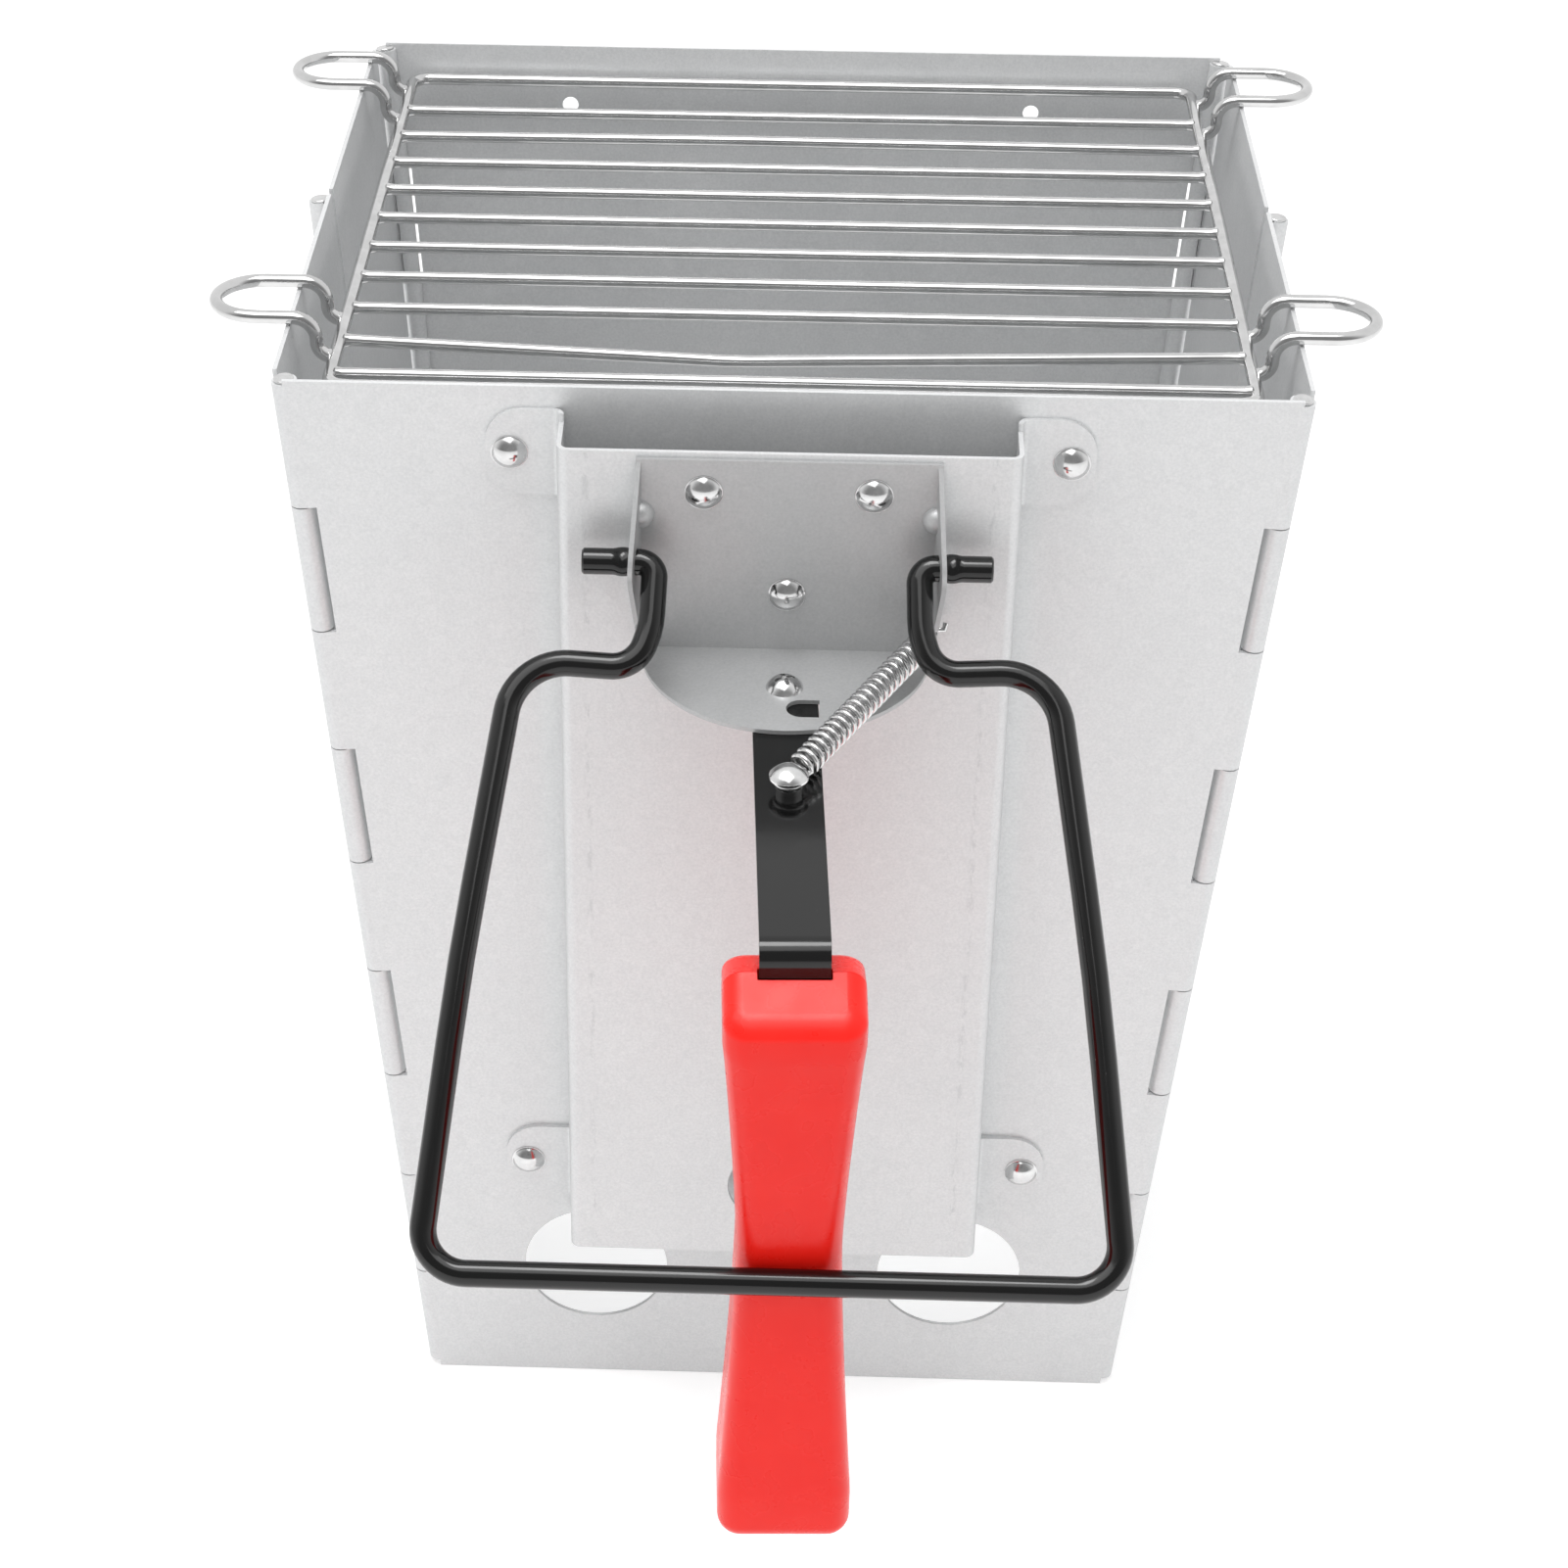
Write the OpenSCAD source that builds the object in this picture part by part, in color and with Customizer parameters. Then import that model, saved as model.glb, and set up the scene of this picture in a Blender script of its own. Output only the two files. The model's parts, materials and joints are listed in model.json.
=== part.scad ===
// Folding camping grill: a tapered sheet steel box that folds flat on six pin
// hinges, a wire grill on its rim, a wire bail and a sprung side handle.
// Millimetres. X is the width, the front faces -Y and Z is up.
// The origin is under the middle of the whole object, on the ground.
// "Down" is a distance down a wall from its top edge, and "out" is a distance
// out from a wall's outer face.

/* [Box] */
// Outside width at the top
top_w = 220; // [205:1:240]
// Outside depth at the top
top_d = 210; // [196:1:216]
// Outside width at the bottom
bottom_w = 172; // [164:1:190]
// Height of the box
body_h = 282; // [270:1:310]
// Thickness of the sheet
sheet_t = 1; // [0.8:0.1:1.2]

/* [Hinges] */
// Diameter of a hinge pin
pin_d = 3.4; // [2.8:0.1:3.6]
// Clearance all round a pin in its knuckles
pin_gap = 0.05; // [0.03:0.01:0.08]
// Clearance all round the pin of the rear right hinge, which closes the ring
open_pin_gap = 0.15; // [0.12:0.01:0.25]
// Number of knuckles on a hinge
knuckles = 9; // [5:2:11]
// Gap between two knuckles
knuckle_gap = 0.3; // [0.2:0.05:0.6]
// Gap between a knuckle and the notch in the other sheet
notch_gap = 0.45; // [0.3:0.05:0.8]
// Width of the slit that a rolled knuckle leaves
slit_w = 0.35; // [0.2:0.05:0.5]
// Diameter of a pin's peened ends
peen_d = 4.4; // [4:0.1:5]
// Thickness of a pin's peened ends
peen_h = 0.6; // [0.4:0.1:1]
// Distance of a pin's ends from the ends of its corner edge
pin_inset = 0.8; // [0.7:0.1:1.5]

/* [Vents] */
// Diameter of the round vents
vent_d = 35; // [28:1:40]
// Distance of a vent from the middle
vent_x = 43.5; // [36:0.5:50]
// Distance of a vent down the wall
vent_down = 247; // [240:1:250]

/* [Handle channel] */
// Outside width of the channel
channel_w = 97.4; // [90:0.2:104]
// How far the channel stands out from the front wall
channel_out = 14; // [12:0.5:18]
// Distance of the channel's top end down the wall
channel_top = 7; // [6:0.5:8]
// Distance of the channel's bottom end down the wall
channel_low = 229; // [226:1:231]
// Outside radius of the channel's bends
channel_r = 2.5; // [2:0.1:3]
// Distance of the rivets in the ears from the middle
ear_rivet_x = 59.5; // [57:0.1:60]
// Distance of the upper rivets down the wall
ear_rivet_top = 15.3; // [14.5:0.1:16]
// Distance of the lower rivets down the wall
ear_rivet_low = 212.7; // [211:0.1:214]
// Height of an ear
ear_h = 20.6; // [18:0.2:22]
// How far an ear reaches past its rivet
ear_past = 5.2; // [5:0.1:7]
// Radius of an ear's outer corners
ear_r = 8; // [5:0.5:8.5]
// Diameter of the access hole in the channel
access_d = 22; // [16:1:26]
// Distance of the access hole down the wall
access_down = 208; // [204:1:212]

/* [Rivets] */
// Diameter of a rivet's head
rivet_head_d = 8; // [7:0.1:8.4]
// Height of a rivet's head
rivet_head_h = 2.4; // [2:0.1:3]
// Diameter of a rivet's shank
rivet_d = 4; // [3:0.1:4.6]
// Diameter of a rivet's tail
rivet_tail_d = 6; // [5.4:0.1:6.6]
// Height of a rivet's tail
rivet_tail_h = 1.2; // [0.8:0.1:1.4]
// Clearance all round a shank in its hole
shank_gap = 0.05; // [0.03:0.01:0.1]

/* [Bracket] */
// Outside width across the bracket's flanges
bracket_w = 64; // [60:0.5:68]
// Distance of the bracket's top edge down the wall
bracket_top = 8.2; // [8:0.1:9]
// Distance of the half-round tab down the wall
tab_down = 54.5; // [52:0.5:57]
// Radius of the half-round tab
tab_r = 31; // [29:0.5:33]
// Turn of the flanges outward from square
flange_splay = 5.5; // [4:0.1:7]
// Radius of a flange round its hole
lug_r = 6.5; // [6:0.1:7.5]
// Distance of the upper bracket rivets from the middle
plate_rivet_x = 17.8; // [16:0.2:20]
// Distance of the upper bracket rivets down the wall
plate_rivet_top = 15.9; // [15:0.1:17]
// Distance of the lower bracket rivet down the wall
plate_rivet_low = 40.6; // [38:0.2:43]
// Radius of the dimple pressed in each flange's bend
dimple_r = 3; // [2:0.1:3.5]
// Width of the stop that is bent down out of the tab
stop_w = 5; // [4:0.2:6]
// Length of the slot that the stop leaves in the tab
slot_w = 7; // [5:0.2:8]
// How far the stop reaches below the tab
stop_h = 3.4; // [3:0.1:4]
// Diameter of the hole for the spring's hook
hook_hole_d = 2.4; // [2:0.1:3]

/* [Bail] */
// Diameter of the bail's wire
bail_d = 5.6; // [5:0.1:6]
// Clearance all round the bail in its holes
bail_gap = 0.08; // [0.05:0.01:0.1]
// Distance of the bail's axis out from the front wall
bail_out = 22; // [21.5:0.1:23]
// Distance of the bail's axis down the wall
bail_down = 29; // [27:0.5:31]
// Length of the bail from its axis to the middle of its bar
bail_len = 149; // [140:1:156]
// Distance of the bail's ends from the middle
bail_tip_x = 43; // [41:0.5:46]
// Distance of the inner legs in from the outer faces of the flanges
leg_in = 4.4; // [4.3:0.1:4.7]
// Distance from the bail's axis of the place where an inner leg turns outward
leg_turn_len = 14.5; // [14:0.1:16]
// Distance of the inner legs' low corners from the bail's axis
inner_len = 22.8; // [22.6:0.1:25]
// How far an inner leg's low corner lies out from its top
inner_out = 3.7; // [2:0.1:3.7]
// Radius of the bend at an inner leg's low corner
inner_r = 7; // [5:0.5:8]
// Distance of the shoulders' outer corners from the bail's axis
shoulder_len = 21.5; // [20:0.1:25]
// Distance of the shoulders' outer corners from the middle
shoulder_x = 56; // [54:0.5:60]
// Radius of the bend at a shoulder's outer corner
shoulder_r = 12.5; // [8:0.5:13]
// Half the width of the bail at its bar
bar_x = 71.3; // [66:0.1:76]
// How far the bail's legs bow out
leg_bow = 1.4; // [1:0.2:4]
// Gap between the bail's bar and the grip it lies on
bar_gap = 0.4; // [0.3:0.1:2]
// Radius of the bends at the ends of the bail's bar
bar_r = 9; // [7:0.5:14]
// Width of the pinched ears that keep the bail in its holes
pinch_w = 6.5; // [6.3:0.1:7.5]

/* [Handle strap] */
// Width of the strap
strap_w = 14; // [12:0.5:16]
// Thickness of the strap
strap_t = 3; // [2.5:0.1:3.5]
// Reach of the strap out from the bracket's plate
strap_reach = 104; // [98:1:108]
// Distance of the pivot screw out from the bracket's plate
pivot_reach = 14.6; // [14:0.1:16]
// Distance of the spring post out from the bracket's plate
post_reach = 51; // [48:0.5:58]
// Turn of the handle at rest, to the right
rest_turn = 2.3; // [0:0.1:4]
// Clearance between the strap and what it turns against
strap_gap = 0.1; // [0.05:0.05:0.3]
// Inside radius of the strap's bend
strap_bend_r = 1.5; // [1:0.1:3]
// How far the strap reaches into the grip
tang_len = 92; // [70:1:120]

/* [Pivot] */
// Diameter of the pivot screw's thread
screw_d = 5; // [4:0.5:5]
// Diameter of the pivot screw's head
screw_head_d = 8; // [7.6:0.1:10]
// Height of the pivot screw's head
screw_head_h = 2.6; // [2:0.1:3.5]
// Clearance all round the pivot screw
screw_gap = 0.08; // [0.05:0.01:0.1]
// Width across the flats of the lock nut
nut_w = 8; // [7.6:0.1:10]
// Height of the lock nut
nut_h = 5; // [4:0.1:6]
// Diameter of the washer under the strap
washer_d = 12; // [10:0.5:13]
// Thickness of the washer
washer_t = 1; // [0.8:0.1:1.5]

/* [Spring] */
// Diameter of the spring post's neck
neck_d = 4; // [3.5:0.1:4.5]
// Diameter of the spring post's head
post_head_d = 8.2; // [7:0.1:9]
// Height of the spring post above the strap
post_h = 6.1; // [5.9:0.1:8.6]
// Outside diameter of the spring
spring_d = 6.2; // [5:0.1:7]
// Diameter of the spring's wire
spring_wire = 1.2; // [0.8:0.1:1.4]
// Number of turns
spring_turns = 23; // [16:1:28]

/* [Grip] */
// Length of the grip
grip_len = 144; // [130:1:150]
// Width of the grip at its ends
grip_w = 28.2; // [26:0.2:32]
// Width of the grip at its waist
waist_w = 21.6; // [20:0.2:24]
// Depth of the grip at its ends
grip_t = 26; // [24:0.2:30]
// Depth of the grip at its waist
waist_t = 19.6; // [18:0.2:22]
// Radius of the grip's long edges
grip_r = 5; // [3:0.2:6]
// Distance of the waist below the grip's top
waist_at = 66; // [55:1:80]
// Gap between the strap's underside and the grip's top
grip_drop = 3.4; // [2.6:0.1:6]
// Clearance all round the strap in the grip
tang_gap = 0.15; // [0.05:0.05:0.3]
// Distance of the upper grip screw below the grip's top
upper_screw_at = 24; // [20:1:30]
// Distance of the lower grip screw above the strap's end
lower_screw_up = 14; // [10:1:20]
// Diameter of the grip screws
grip_screw_d = 4; // [3:0.5:4]
// Diameter of the grip screws' heads
grip_screw_head_d = 7.6; // [7:0.1:8]

/* [Grill] */
// Diameter of the frame's and the ears' wire
frame_wire = 3; // [2.5:0.1:3.4]
// Diameter of the cross rods
rod_wire = 2.7; // [2.2:0.1:2.8]
// Number of cross rods
rods = 10; // [8:1:11]
// Distance between the frame's front wire and the first rod
rod_front_gap = 6.6; // [5:0.2:12]
// Distance between the frame's back wire and the last rod
rod_back_gap = 23.2; // [12:0.2:26]
// Distance of the frame's side wires in from the side walls' outer faces
side_space = 10.4; // [10.2:0.1:12]
// Distance of the frame's front wire in from the front wall's outer face
front_space = 14; // [10:0.5:20]
// Distance of the frame's back wire in from the back wall's outer face
back_space = 6.5; // [6:0.5:12]
// Radius of the frame's corners
frame_r = 4.4; // [3.6:0.2:8]
// How far the frame hangs below the ears
ear_drop = 9; // [8:0.1:10]
// Distance between the middles of the front and back ears
ear_pitch = 144.4; // [138:0.2:148]
// How far the middle of the ears lies behind the frame's middle
ears_back = 2.8; // [0:0.2:4]
// Outside width of an ear
ear_w = 23; // [21:0.5:26]
// How far an ear reaches out past the side wall
ear_out = 18; // [14:0.5:24]
// Distance of an ear's legs in from the side wall's outer face
ear_leg_in = 6.5; // [6.2:0.1:6.8]
// Gap between an ear and the rim it rests on
ear_gap = 0.1; // [0.05:0.05:0.2]

/* [Hidden] */
$fn = 48;
eps = 0.01;
far = 20;

bottom_d = bottom_w * top_d / top_w;
front_lean = atan2((top_d - bottom_d) / 2, body_h);
side_lean = atan2((top_w - bottom_w) / 2, body_h);
front_slant = body_h / cos(front_lean);
side_slant = body_h / cos(side_lean);
front_edge_tilt = atan2((top_w - bottom_w) / 2, front_slant);
side_edge_tilt = atan2((top_d - bottom_d) / 2, side_slant);
edge_len = front_slant / cos(front_edge_tilt);

bore_d = pin_d + 2 * pin_gap;
open_bore_d = pin_d + 2 * open_pin_gap;
barrel_d = bore_d + 2 * sheet_t;
wall_angle = 180 - acos(sin(front_lean) * sin(side_lean));
axis_inset = barrel_d / 2 / tan(wall_angle / 2);
mid_out = barrel_d / 2 - sheet_t;
slit_turn = 28;
slit_past = 0.2;

plate_out = channel_out + sheet_t;
pivot_out = plate_out + pivot_reach;
strap_top = tab_down + sheet_t + strap_gap;
post_out = plate_out + post_reach;
strap_mid_out = plate_out + strap_reach - strap_t / 2;
grip_top = strap_top + strap_t + grip_drop;
cap_h = 7.2;

bar_out = strap_mid_out + waist_t / 2 + bar_gap + bail_d / 2;
bail_turn = asin((bar_out - bail_out) / bail_len);
foot_in = 0.1;
splay_out = (bail_out - plate_out) * tan(flange_splay) - foot_in;

rim_z = body_h + sheet_t * sin(side_lean);
ear_z = rim_z + frame_wire / 2 + ear_gap;
frame_z = ear_z - ear_drop;
frame_hw = top_w / 2 - side_space;
frame_front = -top_d / 2 + front_space;
frame_back = top_d / 2 - back_space;

// How far forward a rounded rectangle of width w and depth t, in the middle
// of the strap, reaches when the handle is at rest
function reach_out(w, t, r) =
    pivot_out + (strap_mid_out - pivot_out + t / 2 - r) * cos(rest_turn)
    + (w / 2 - r) * sin(rest_turn) + r;
function forward(out, down) = out * cos(front_lean) - down * sin(front_lean);
front_reach = max(
    forward(reach_out(grip_w, grip_t, grip_r), grip_top + cap_h),
    forward(bar_out, bail_down + bail_len * cos(bail_turn)) + bail_d / 2);
middle_y = -front_reach / 2;

steel = [0.78, 0.79, 0.79];
bright = [0.9, 0.9, 0.91];
black = [0.08, 0.08, 0.08];
red = [0.9, 0.13, 0.09];

// Children are placed in the box's own frame, whose Z axis runs up its middle
module box_frame() {
    translate([0, -middle_y, 0]) children();
}

// In a wall's frame X runs along its top edge, -Z down its outer face and +Y
// inward, from the middle of its top edge
module on_front() {
    box_frame() translate([0, -top_d / 2, body_h]) rotate([front_lean, 0, 0]) children();
}

module on_back() {
    box_frame() rotate([0, 0, 180]) translate([0, -top_d / 2, body_h])
        rotate([front_lean, 0, 0]) children();
}

module on_left() {
    box_frame() rotate([0, 0, -90]) translate([0, -top_w / 2, body_h])
        rotate([side_lean, 0, 0]) children();
}

module on_right() {
    box_frame() mirror([1, 0, 0]) rotate([0, 0, -90]) translate([0, -top_w / 2, body_h])
        rotate([side_lean, 0, 0]) children();
}

module both_sides() {
    for (side = [0, 1]) mirror([side, 0, 0]) children();
}

// A hinge frame has its axis on Z, running down, and the sheet toward -X
module at_corner(half_w, tilt) {
    translate([half_w, 0, 0]) rotate([0, tilt, 0])
        translate([-axis_inset, barrel_d / 2, 0]) children();
}

module at_middle() {
    mirror([1, 0, 0]) translate([0, -mid_out, 0]) children();
}

// Rows of a hinge that start with row "first" and skip every other one
module barrels(len, first) {
    row = len / knuckles;
    end_gap = pin_inset + peen_h;
    for (i = [first : 2 : knuckles - 1]) {
        top = i == 0 ? end_gap : i * row + knuckle_gap / 2;
        low = i == knuckles - 1 ? len - end_gap : (i + 1) * row - knuckle_gap / 2;
        translate([0, 0, -low]) cylinder(d = barrel_d, h = low - top);
    }
}

module notches(len, first) {
    row = len / knuckles;
    for (i = [1 - first : 2 : knuckles - 1]) {
        top = i == 0 ? -far : i * row - knuckle_gap / 2;
        low = i == knuckles - 1 ? len + far : (i + 1) * row + knuckle_gap / 2;
        translate([-barrel_d / 2 - notch_gap, -far / 2, -low]) cube([far, far, low - top]);
    }
}

// The bore and the slit of a rolled knuckle; the sheet lies to the outside of
// a corner's axis (side = -1) and to the inside of a middle hinge (side = 1)
module rolled(len, bore, side) {
    translate([0, 0, -len - eps]) cylinder(d = bore, h = len + 2 * eps);
    rotate([0, 0, 180 - side * slit_turn])
        translate([bore_d / 2 - slit_past, -slit_w / 2, -len])
            cube([sheet_t + 2 * slit_past, slit_w, len]);
}

module flat_sheet(points) {
    translate([0, sheet_t, 0]) rotate([90, 0, 0]) linear_extrude(sheet_t) polygon(points);
}

module across_sheet(d) {
    translate([0, -eps, 0]) rotate([-90, 0, 0]) cylinder(d = d, h = sheet_t + 2 * eps);
}

module full_wall() {
    trim = axis_inset / cos(front_edge_tilt);
    top = top_w / 2 - trim;
    low = bottom_w / 2 - trim;
    difference() {
        union() {
            difference() {
                flat_sheet([[-top, 0], [top, 0], [low, -front_slant], [-low, -front_slant]]);
                both_sides() at_corner(top_w / 2, front_edge_tilt) notches(edge_len, 0);
            }
            both_sides() at_corner(top_w / 2, front_edge_tilt) barrels(edge_len, 0);
        }
        both_sides() {
            at_corner(top_w / 2, front_edge_tilt) rolled(edge_len, bore_d, -1);
            translate([vent_x, 0, -vent_down]) across_sheet(vent_d);
            for (down = [ear_rivet_top, ear_rivet_low])
                translate([ear_rivet_x, 0, -down]) across_sheet(rivet_d + 2 * shank_gap);
        }
    }
}

module front_panel() {
    color(steel) on_front() full_wall();
}

module back_panel() {
    color(steel) on_back() full_wall();
}

// Half of a side wall, from the middle hinge to the corner at +X; "first" is
// the first row that it owns on the middle hinge
module half_wall(first, corner_bore) {
    trim = axis_inset / cos(side_edge_tilt);
    top = top_d / 2 - trim;
    low = bottom_d / 2 - trim;
    difference() {
        union() {
            difference() {
                flat_sheet([[0, 0], [top, 0], [low, -side_slant], [0, -side_slant]]);
                at_corner(top_d / 2, side_edge_tilt) notches(edge_len, 1);
                at_middle() notches(side_slant, first);
            }
            at_corner(top_d / 2, side_edge_tilt) barrels(edge_len, 1);
            at_middle() barrels(side_slant, first);
        }
        at_corner(top_d / 2, side_edge_tilt) rolled(edge_len, corner_bore, -1);
        at_middle() rolled(side_slant, bore_d, 1);
    }
}

module left_front_panel() {
    color(steel) on_left() half_wall(0, bore_d);
}

module left_rear_panel() {
    color(steel) on_left() mirror([1, 0, 0]) half_wall(1, bore_d);
}

module right_front_panel() {
    color(steel) on_right() half_wall(0, bore_d);
}

module right_rear_panel() {
    color(steel) on_right() mirror([1, 0, 0]) half_wall(1, open_bore_d);
}

// A pin with both ends peened over the end knuckles
module hinge_pin(len) {
    color(bright) {
        translate([0, 0, -len + pin_inset]) cylinder(d = pin_d, h = len - 2 * pin_inset);
        for (z = [-len + pin_inset, -pin_inset - peen_h])
            translate([0, 0, z]) cylinder(d = peen_d, h = peen_h);
    }
}

module corner_pin() {
    at_corner(top_w / 2, front_edge_tilt) hinge_pin(edge_len);
}

module front_left_pin() {
    on_front() mirror([1, 0, 0]) corner_pin();
}

module front_right_pin() {
    on_front() corner_pin();
}

module rear_left_pin() {
    on_back() corner_pin();
}

module rear_right_pin() {
    on_back() mirror([1, 0, 0]) corner_pin();
}

module middle_left_pin() {
    on_left() at_middle() hinge_pin(side_slant);
}

module middle_right_pin() {
    on_right() at_middle() hinge_pin(side_slant);
}

// Block from x1 to x2, y1 to y2, and from "top" to "low" down the wall
module block(x1, x2, y1, y2, top, low) {
    translate([x1, y1, -low]) cube([x2 - x1, y2 - y1, low - top]);
}

// Solid hat shape with its face at y = -out and two rounded long edges
module hat(half_w, out, r, top, low) {
    block(-half_w, half_w, -out + r, 0, top, low);
    block(-half_w + r, half_w - r, -out, -out + r + eps, top, low);
    both_sides() translate([half_w - r, -out + r, -low]) cylinder(r = r, h = low - top);
}

// An ear that is bent out from the channel's side along the wall
module channel_ear(down) {
    outer = ear_rivet_x + ear_past;
    foot = channel_w / 2 - sheet_t + channel_r;
    top = down - ear_h / 2;
    low = down + ear_h / 2;
    both_sides() {
        difference() {
            union() {
                block(foot - eps, outer - ear_r, -sheet_t, 0, top, low);
                block(foot - eps, outer, -sheet_t, 0, top + ear_r, low - ear_r);
                for (z = [top + ear_r, low - ear_r]) translate([outer - ear_r, 0, -z])
                    rotate([90, 0, 0]) cylinder(r = ear_r, h = sheet_t);
            }
            translate([ear_rivet_x, -sheet_t, -down]) across_sheet(rivet_d + 2 * shank_gap);
        }
        intersection() {
            translate([foot, -channel_r, -low]) difference() {
                cylinder(r = channel_r, h = ear_h);
                translate([0, 0, -eps]) cylinder(r = channel_r - sheet_t, h = ear_h + 2 * eps);
            }
            block(foot - channel_r, foot, -channel_r - eps, 0, top, low);
        }
    }
}

module handle_channel() {
    half_w = channel_w / 2;
    inner_w = half_w - sheet_t;
    hole_d = rivet_d + 2 * shank_gap;
    ears = [ear_rivet_top, ear_rivet_low];
    color(steel) on_front() {
        difference() {
            hat(half_w, channel_out, channel_r, channel_top, channel_low);
            translate([0, far, 0])
                block(-inner_w, inner_w, -far - eps, 0, channel_top - far, channel_low + far);
            hat(inner_w, channel_out - sheet_t, channel_r - sheet_t,
                channel_top - far, channel_low + far);
            for (down = ears) both_sides()
                block(inner_w - eps, half_w + eps, -channel_r, far, down - ear_h / 2, down + ear_h / 2);
            for (x = [-plate_rivet_x, plate_rivet_x])
                translate([x, -channel_out, -plate_rivet_top]) across_sheet(hole_d);
            translate([0, -channel_out, -plate_rivet_low]) across_sheet(hole_d);
            translate([0, -channel_out, -access_down]) across_sheet(access_d);
        }
        for (down = ears) channel_ear(down);
    }
}

// Spherical cap of diameter d and height h, on z = 0 and pointing to -Z
module dome(d, h) {
    r = (d * d / 4 + h * h) / (2 * h);
    intersection() {
        translate([0, 0, r - h]) sphere(r);
        translate([-d, -d, -h - 1]) cube([2 * d, 2 * d, h + 1]);
    }
}

// A rivet through two sheets, with its head's underside at the origin
module rivet() {
    stack = 2 * sheet_t;
    rotate([-90, 0, 0]) {
        dome(rivet_head_d, rivet_head_h);
        translate([0, 0, -eps]) cylinder(d = rivet_d, h = stack + 2 * eps);
        translate([0, 0, stack]) cylinder(d = rivet_tail_d, h = rivet_tail_h);
    }
}

module channel_rivets() {
    color(bright) on_front() both_sides()
        for (down = [ear_rivet_top, ear_rivet_low])
            translate([ear_rivet_x, -sheet_t, -down]) rivet();
}

module bracket_rivets() {
    color(bright) on_front() {
        both_sides() translate([plate_rivet_x, -plate_out, -plate_rivet_top]) rivet();
        translate([0, -plate_out, -plate_rivet_low]) rivet();
    }
}

// Point where a line from p, outside the lug, touches the lug's outer side;
// "turn" is 1 from above the lug and -1 from below it
function tangent_point(p, turn) =
    let (c = [bail_out, bail_down], d = c - p, len = norm(d),
         angle = atan2(d[0], d[1]) + turn * asin(lug_r / len),
         reach = sqrt(len * len - lug_r * lug_r))
    p + reach * [sin(angle), cos(angle)];

// A flange's outline, as (out, down) points, without the round of its lug
function flange_points() =
    let (foot = plate_out - sheet_t / 2,
         top = [foot, bracket_top + foot_in], low = [foot, tab_down])
    [top, tangent_point(top, 1), [bail_out, bail_down], tangent_point(low, -1), low];

hook_down = 46.6;
hook_past = 3.2;
hook_out = plate_out + hook_past;

module flange_plate() {
    rotate([90, 0, 90]) linear_extrude(sheet_t)
        polygon([for (p = flange_points()) [-p[0], -p[1]]]);
    translate([0, -bail_out, -bail_down]) rotate([0, 90, 0])
        cylinder(r = lug_r, h = sheet_t);
}

// The plate is turned out about its foot, and its holes run straight across
module flange() {
    bail_bore = bail_d + 2 * bail_gap;
    difference() {
        translate([bracket_w / 2 - foot_in, -plate_out, 0]) rotate([0, 0, flange_splay])
            translate([-sheet_t, plate_out, 0]) flange_plate();
        translate([bracket_w / 4, -bail_out, -bail_down]) rotate([0, 90, 0])
            cylinder(d = bail_bore, h = bracket_w / 2);
        translate([bracket_w / 4, -hook_out, -hook_down]) rotate([0, 90, 0])
            cylinder(d = hook_hole_d, h = bracket_w / 2);
    }
}

// The stop stands beside the strap's right edge, at the flat end of its slot
stop_reach = 22.6;
stop_gap = 0.02;
stop_x = (strap_w / 2 + (stop_reach - pivot_reach) * sin(rest_turn)) / cos(rest_turn)
    + stop_w / 2 * tan(rest_turn) + stop_gap;
slot_past = 0.7;
slot_r = stop_w / 2 + slot_past;
dimple_down = bail_down - 4.6;

module handle_bracket() {
    half_w = bracket_w / 2;
    hole_d = rivet_d + 2 * shank_gap;
    stop_y = -plate_out - stop_reach;
    color(steel) on_front() {
        difference() {
            block(-half_w, half_w, -plate_out, -channel_out, bracket_top, tab_down + sheet_t);
            for (x = [-plate_rivet_x, plate_rivet_x])
                translate([x, -plate_out, -plate_rivet_top]) across_sheet(hole_d);
            translate([0, -plate_out, -plate_rivet_low]) across_sheet(hole_d);
        }
        both_sides() {
            flange();
            intersection() {
                translate([half_w - sheet_t, -plate_out, -dimple_down + dimple_r])
                    sphere(dimple_r);
                block(0, half_w - eps, -bail_out, -plate_out + eps, 0, tab_down);
            }
        }
        difference() {
            intersection() {
                translate([0, -plate_out, -tab_down - sheet_t]) cylinder(r = tab_r, h = sheet_t);
                block(-tab_r, tab_r, -plate_out - tab_r, -plate_out + eps, 0, body_h);
            }
            translate([0, -pivot_out, -tab_down - sheet_t - eps])
                cylinder(d = screw_d + 2 * screw_gap, h = sheet_t + 2 * eps);
            translate([stop_x - slot_w + slot_r, stop_y, -tab_down - sheet_t - eps]) {
                cylinder(r = slot_r, h = sheet_t + 2 * eps);
                translate([0, -slot_r, 0]) cube([slot_w - slot_r, 2 * slot_r, sheet_t + 2 * eps]);
            }
        }
        block(stop_x, stop_x + sheet_t, stop_y - stop_w / 2, stop_y + stop_w / 2,
              tab_down + sheet_t - eps, tab_down + sheet_t + stop_h);
    }
}

function unit(v) = v / norm(v);
function turn_sign(u, v) = u[0] * v[1] - u[1] * v[0] > 0 ? 1 : -1;

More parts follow.
